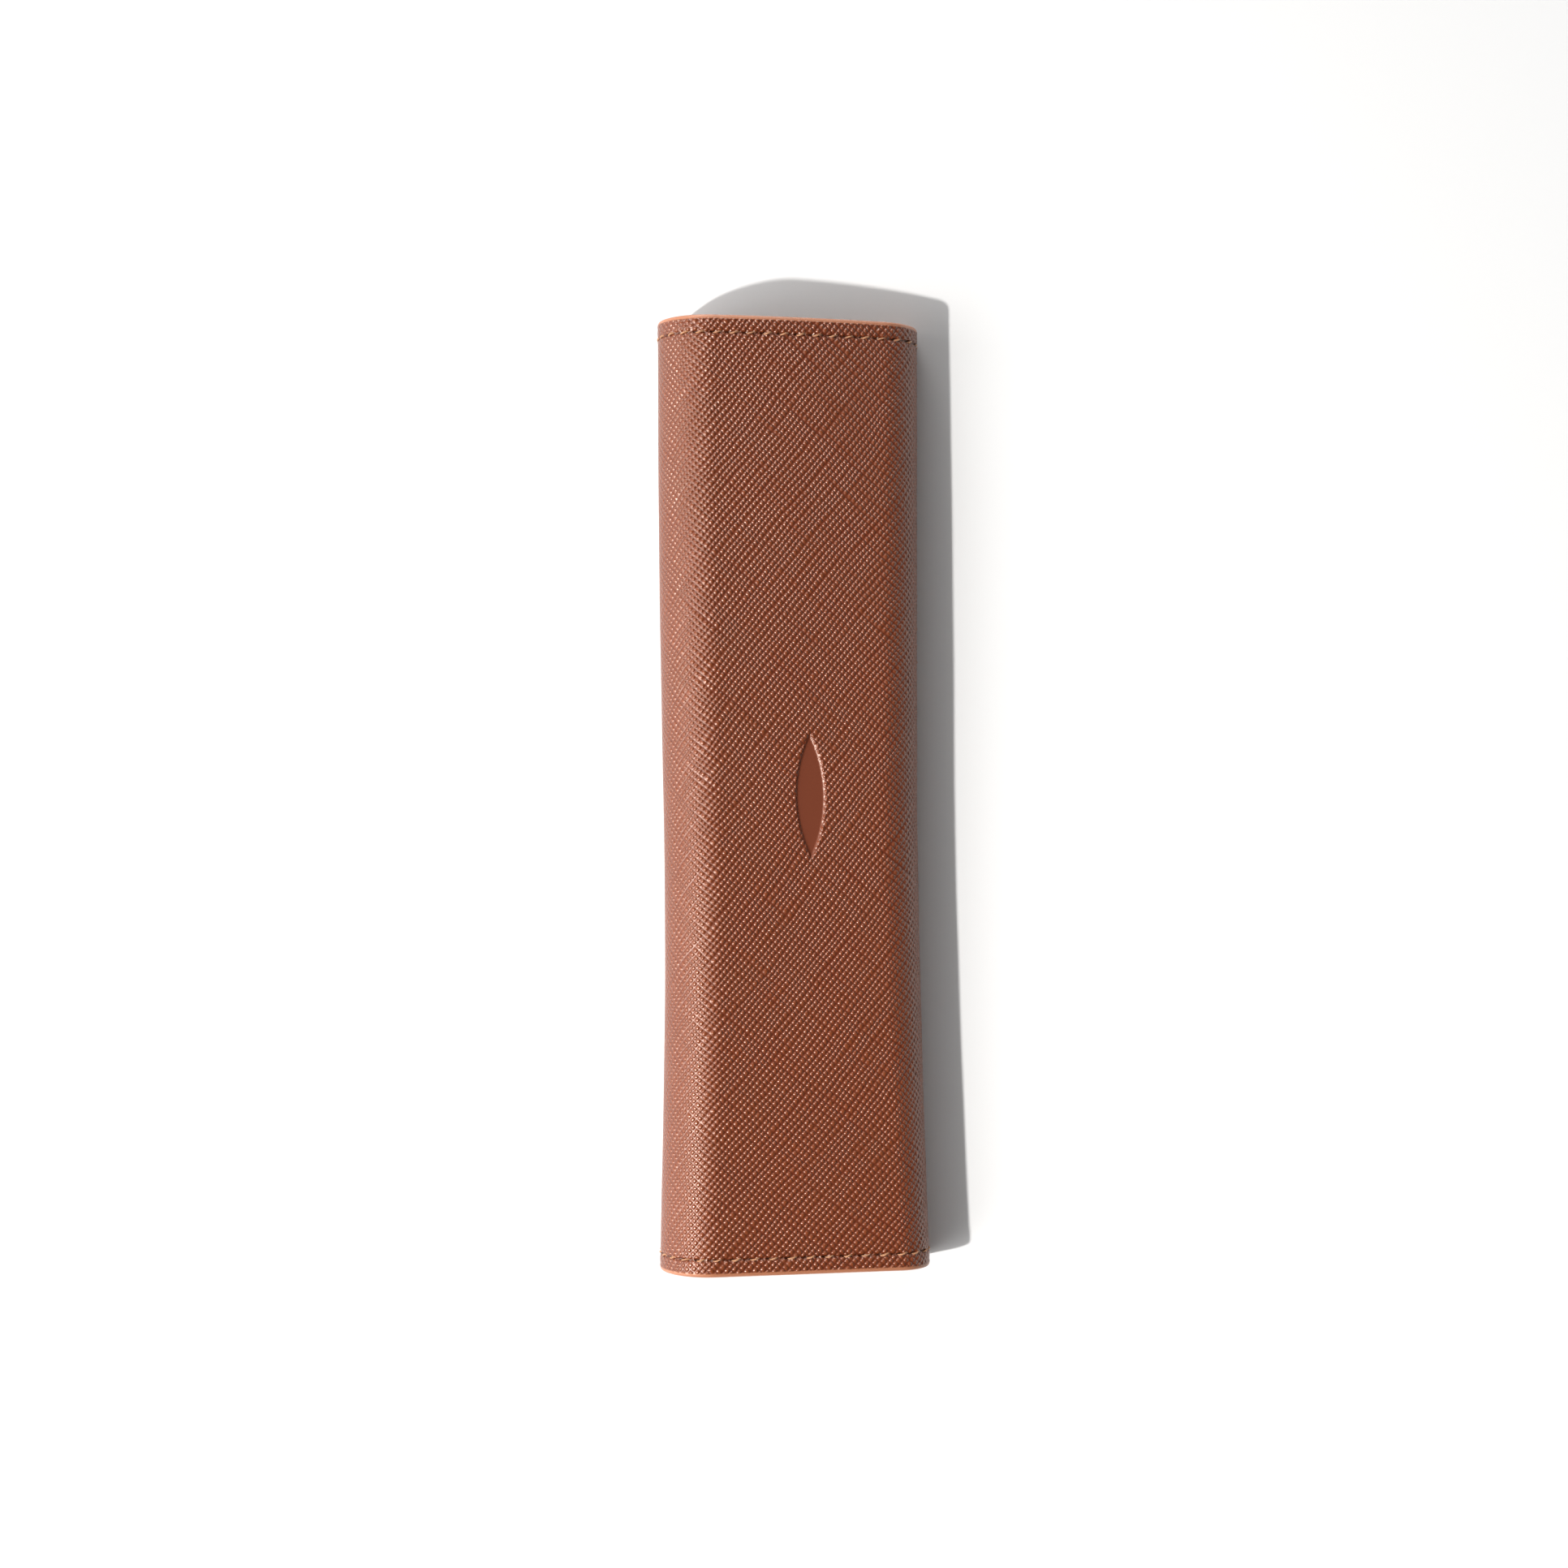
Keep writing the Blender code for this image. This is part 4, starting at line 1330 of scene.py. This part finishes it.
@material("embossed_hide")
def saffiano_material(tree):
    """Leather embossed with two families of fine slanting grooves, with painted edges and a smooth stamp,
    and with painted shade in its grooves and stitch slots.
    """
    look = settings("leather")
    place = hide_millimetres(tree)
    shifted = swayed(tree, place, noise(tree, place, 0.33, output="Color"), 0.34)
    grain_place = swayed(tree, shifted, noise(tree, place, 0.045, 1.0, output="Color"), 1.3)
    rising = groove_family(tree, grain_place, GRAIN_RISING, look.pitch_rising / MM)
    falling = groove_family(tree, grain_place, GRAIN_FALLING, look.pitch_falling / MM)
    grain = calc(tree, "MULTIPLY", rising, falling)
    pores = noise(tree, place, 7.0, 3.0, 0.6)
    patches = noise(tree, place, 0.12, 3.0, 0.6)

    pressed, paint, slots = (point_value(tree, name) for name in ("pressed", "painted", "sewn"))
    grained = calc(tree, "SUBTRACT", 1.0, calc(tree, "MAXIMUM", pressed, paint))
    ridges = calc(tree, "MULTIPLY", grain, grained)
    height = calc(tree, "MULTIPLY_ADD", pores, 0.025, ridges)

    # Painted shade: the grain's grooves take the darker groove colour, because the bump casts no shade into
    # them.
    tint = mixed(tree, ranged(tree, grain, 0.0, 0.6, 0, 1), look.groove_shade, look.crest)
    tint = mixed(tree, ranged(tree, patches, 0.35, 0.7, 0, 0.35), tint, toned(look.crest, 0.72))
    tint = mixed(tree, pressed, tint, look.pressed)
    # Painted shade: the stitch slots are coloured near black, for the shade inside them.
    tint = mixed(tree, ranged(tree, slots, 0.25, 0.8, 0, 0.9), tint, toned(look.groove_shade, 0.3))
    rough = ranged(tree, ridges, 0, 1, look.groove_gloss, look.gloss)
    return {
        "Base Color": mixed(tree, paint, tint, look.paint),
        "Roughness": calc(tree, "MULTIPLY_ADD", pores, 0.08, rough),
        "Normal": bumped(tree, height, look.depth),
        "IOR": 1.6,
        "Specular IOR Level": 0.85,
        "Specular Tint": (1.0, 0.8, 0.7, 1.0),
    }


@material("plain_hide")
def smooth_leather_material(tree):
    """The same leather without its embossing: fine pores and soft creases, with painted shade in their
    hollows and a painted highlight on their rises.
    """
    look = settings("leather")
    place = own_place(tree)
    pores = noise(tree, place, 2600.0, 4.0, 0.6)
    creases = noise(tree, place, 420.0, 5.0, 0.65)
    # Painted shade and highlight: the colour is darker in the creases' hollows and lighter on their rises,
    # from the same noise as the bump.
    rise = ranged(tree, creases, 0.3, 0.7, 0, 1)
    return {
        "Base Color": mixed(tree, rise, toned(look.pressed, 0.8), toned(look.pressed, 1.15)),
        "Roughness": ranged(tree, pores, 0.3, 0.7, 0.4, 0.55),
        "Normal": bumped(tree, calc(tree, "MULTIPLY_ADD", creases, 1.5, pores), 0.05 * MM),
    }


@material("brushed_suede")
def suede_material(tree):
    """Napped suede: short fibres brushed in patches, with a soft sheen."""
    base = settings("inside").suede
    place = own_place(tree)
    fibres = noise(tree, place, 4200.0, 3.0, 0.7)
    brushed = noise(tree, place, 130.0, 4.0, 0.6)
    tint = mixed(tree, ranged(tree, brushed, 0.35, 0.65, 0, 1), toned(base, 0.8), base)
    return {
        "Base Color": mixed(tree, ranged(tree, fibres, 0.3, 0.7, 0, 0.45), tint, toned(base, 1.5)),
        "Roughness": 0.95,
        "Specular IOR Level": 0.2,
        "Sheen Weight": 0.5,
        "Sheen Roughness": 0.5,
        "Sheen Tint": (1.0, 0.86, 0.74, 1.0),
        "Normal": bumped(tree, fibres, 0.09 * MM),
    }


@material("ribbed_elastic")
def elastic_material(tree):
    """Woven elastic tape: ribs along the band crossed by fine threads, with painted shade between the ribs
    and a painted highlight on them.
    """
    base = settings("inside").elastic
    parts = add_node(tree, "ShaderNodeSeparateXYZ", {0: hide_millimetres(tree)})
    rib = calc(tree, "COSINE", calc(tree, "MULTIPLY", parts.outputs["Y"], 2 * math.pi / 0.7))
    weft = calc(tree, "COSINE", calc(tree, "MULTIPLY", parts.outputs["X"], 2 * math.pi / 0.35))
    height = calc(tree, "MULTIPLY_ADD", weft, 0.4, rib)
    # Painted shade and highlight: the colour is darker where the ribs are low and lighter where they are
    # high.
    relief_shading = ranged(tree, height, -1.2, 1.2, 0, 1)
    return {
        "Base Color": mixed(tree, relief_shading, toned(base, 0.5), toned(base, 1.5)),
        "Roughness": 0.75,
        "Sheen Weight": 0.08,
        "Normal": bumped(tree, height, 0.05 * MM),
    }


@material("twisted_thread")
def thread_material(tree):
    """Waxed thread, with a painted highlight where its strands turn up and painted shade between them."""
    base = settings("inside").thread
    strands = noise(tree, own_place(tree), 5200.0, 3.0, 0.6)
    # Painted highlight and shade: the colour is lighter on the raised strands and darker between them.
    relief_shading = ranged(tree, strands, 0.3, 0.7, 0, 1)
    return {
        "Base Color": mixed(tree, relief_shading, toned(base, 0.6), toned(base, 1.35)),
        "Roughness": 0.5,
        "Sheen Weight": 0.2,
        "Normal": bumped(tree, strands, 0.06 * MM),
    }


@material("bonded_board")
def board_material(tree):
    """Grey-brown bonded board with flecks."""
    flecks = noise(tree, own_place(tree), 1500.0, 5.0, 0.7)
    shown = ranged(tree, flecks, 0.35, 0.65, 0, 1)
    return {
        "Base Color": mixed(tree, shown, (0.24, 0.18, 0.12), (0.46, 0.37, 0.27)),
        "Roughness": 0.9,
        "Normal": bumped(tree, flecks, 0.06 * MM),
    }


@material("felted_fleece")
def fleece_material(tree):
    """Pale felted padding."""
    fluff = noise(tree, own_place(tree), 2200.0, 5.0, 0.75)
    shown = ranged(tree, fluff, 0.3, 0.7, 0, 1)
    return {
        "Base Color": mixed(tree, shown, (0.50, 0.46, 0.40), (0.72, 0.68, 0.61)),
        "Roughness": 1.0,
        "Sheen Weight": 0.4,
        "Normal": bumped(tree, fluff, 0.15 * MM),
    }


@material("nickel_plate")
def nickel_material(tree):
    """Nickel plate with a fine brushed bloom."""
    bloom = noise(tree, own_place(tree), 900.0, 4.0, 0.6)
    return {
        "Base Color": (0.72, 0.71, 0.68, 1.0),
        "Metallic": 1.0,
        "Roughness": ranged(tree, bloom, 0.3, 0.7, 0.18, 0.34),
        "Normal": bumped(tree, bloom, 0.01 * MM),
    }


# Stage


@material("paper_floor")
def paper_material(tree):
    """Matt white floor."""
    tooth = noise(tree, own_place(tree), 900.0, 3.0)
    return {
        "Base Color": (*settings("stage").floor, 1.0),
        "Roughness": 0.9,
        "Specular IOR Level": 0.1,
        "Normal": bumped(tree, tooth, 0.01 * MM),
    }


class PENCASE_OT_stage(bpy.types.Operator):
    """Set the floor, the lights and the camera straight above"""

    bl_idname = "pencase.stage"
    bl_label = "Stage"

    def execute(self, context):
        look = settings("stage")
        bpy.ops.mesh.primitive_plane_add(size=6.0, location=(0, 0, 0))
        floor = context.object
        floor.name = "floor"
        floor.data.materials.append(paper_material())
        self.key_light(look)
        self.sky(look)
        self.camera(look)
        context.scene.view_settings.view_transform = "Standard"
        return {"FINISHED"}

    def key_light(self, look):
        """One lamp near the foot on the spine's side, small enough for a crisp shadow."""
        data = bpy.data.lights.new("key_light", "POINT")
        data.energy = look.key
        data.shadow_soft_size = look.key_radius
        data.color = (1.0, 0.985, 0.96)
        lamp = bpy.data.objects.new("key_light", data)
        lamp.location = look.key_place
        lamp.visible_camera = False
        bpy.context.scene.collection.objects.link(lamp)

    def sky(self, look):
        """Soft light from a window and from beyond the head, in front of one plain pale wall."""
        world = bpy.data.worlds.new("studio")
        world.use_nodes = True
        tree = world.node_tree
        heading = add_node(tree, "ShaderNodeTexCoord").outputs["Generated"]
        light = look.fill
        for way, strength, spread in (
            (look.window_toward, look.window, look.window_spread),
            (look.door_toward, look.door, look.door_spread),
        ):
            facing = vector_calc(tree, "DOT_PRODUCT", heading, tuple(Vector(way).normalized()))
            narrow = 1 / (1 - math.cos(spread))
            glow = calc(tree, "EXPONENT", calc(tree, "MULTIPLY_ADD", facing, narrow, -narrow))
            light = calc(tree, "MULTIPLY_ADD", glow, strength, light)
        seen = add_node(tree, "ShaderNodeLightPath").outputs["Is Camera Ray"]
        shown = add_node(tree, "ShaderNodeMix", {0: seen, 2: light, 3: look.wall}, data_type="FLOAT")
        back = tree.nodes["Background"]
        back.inputs["Color"].default_value = (1.0, 1.0, 1.0, 1.0)
        tree.links.new(shown.outputs[0], back.inputs["Strength"])
        bpy.context.scene.world = world

    def camera(self, look):
        data = bpy.data.cameras.new("camera")
        data.sensor_width = 36.0
        data.lens = look.lens
        data.clip_start = 0.01
        data.clip_end = 10.0
        camera = bpy.data.objects.new("camera", data)
        camera.location = (look.camera_x, look.camera_y, look.camera_height)
        bpy.context.scene.collection.objects.link(camera)
        bpy.context.scene.camera = camera


class PENCASE_PT_panel(bpy.types.Panel):
    """The case's makers, in the order in which they run"""

    bl_idname = "PENCASE_PT_panel"
    bl_label = "Pen Case"
    bl_space_type = "VIEW_3D"
    bl_region_type = "UI"
    bl_category = "Pen Case"

    def draw(self, context):
        for maker in MAKERS:
            self.layout.operator(maker.bl_idname)
        for name in GROUPS:
            box = self.layout.box()
            group = settings(name)
            for key in group.bl_rna.properties.keys():
                if key not in ("rna_type", "name"):
                    box.prop(group, key)


MAKERS = (
    PENCASE_OT_stage,
    PENCASE_OT_skin,
    PENCASE_OT_seams,
    PENCASE_OT_padding,
    PENCASE_OT_lining,
    PENCASE_OT_sleeves,
    PENCASE_OT_loops,
    PENCASE_OT_welt,
)
GROUPS = {
    "wrap_shape": PenCaseWrapShape,
    "layers": PenCaseLayers,
    "seams": PenCaseSeams,
    "leather": PenCaseLeather,
    "inside": PenCaseInside,
    "stage": PenCaseStage,
}


def register():
    for group in GROUPS.values():
        bpy.utils.register_class(group)
    for maker in (*MAKERS, PENCASE_PT_panel):
        bpy.utils.register_class(maker)
    for name, group in GROUPS.items():
        setattr(bpy.types.Scene, "pen_case_" + name, PointerProperty(type=group))


def unregister():
    for name in GROUPS:
        delattr(bpy.types.Scene, "pen_case_" + name)
    for maker in (PENCASE_PT_panel, *reversed(MAKERS)):
        bpy.utils.unregister_class(maker)
    for group in reversed(GROUPS.values()):
        bpy.utils.unregister_class(group)


def main():
    register()
    for maker in MAKERS:
        group, name = maker.bl_idname.split(".")
        getattr(getattr(bpy.ops, group), name)()


if __name__ == "__main__":
    main()
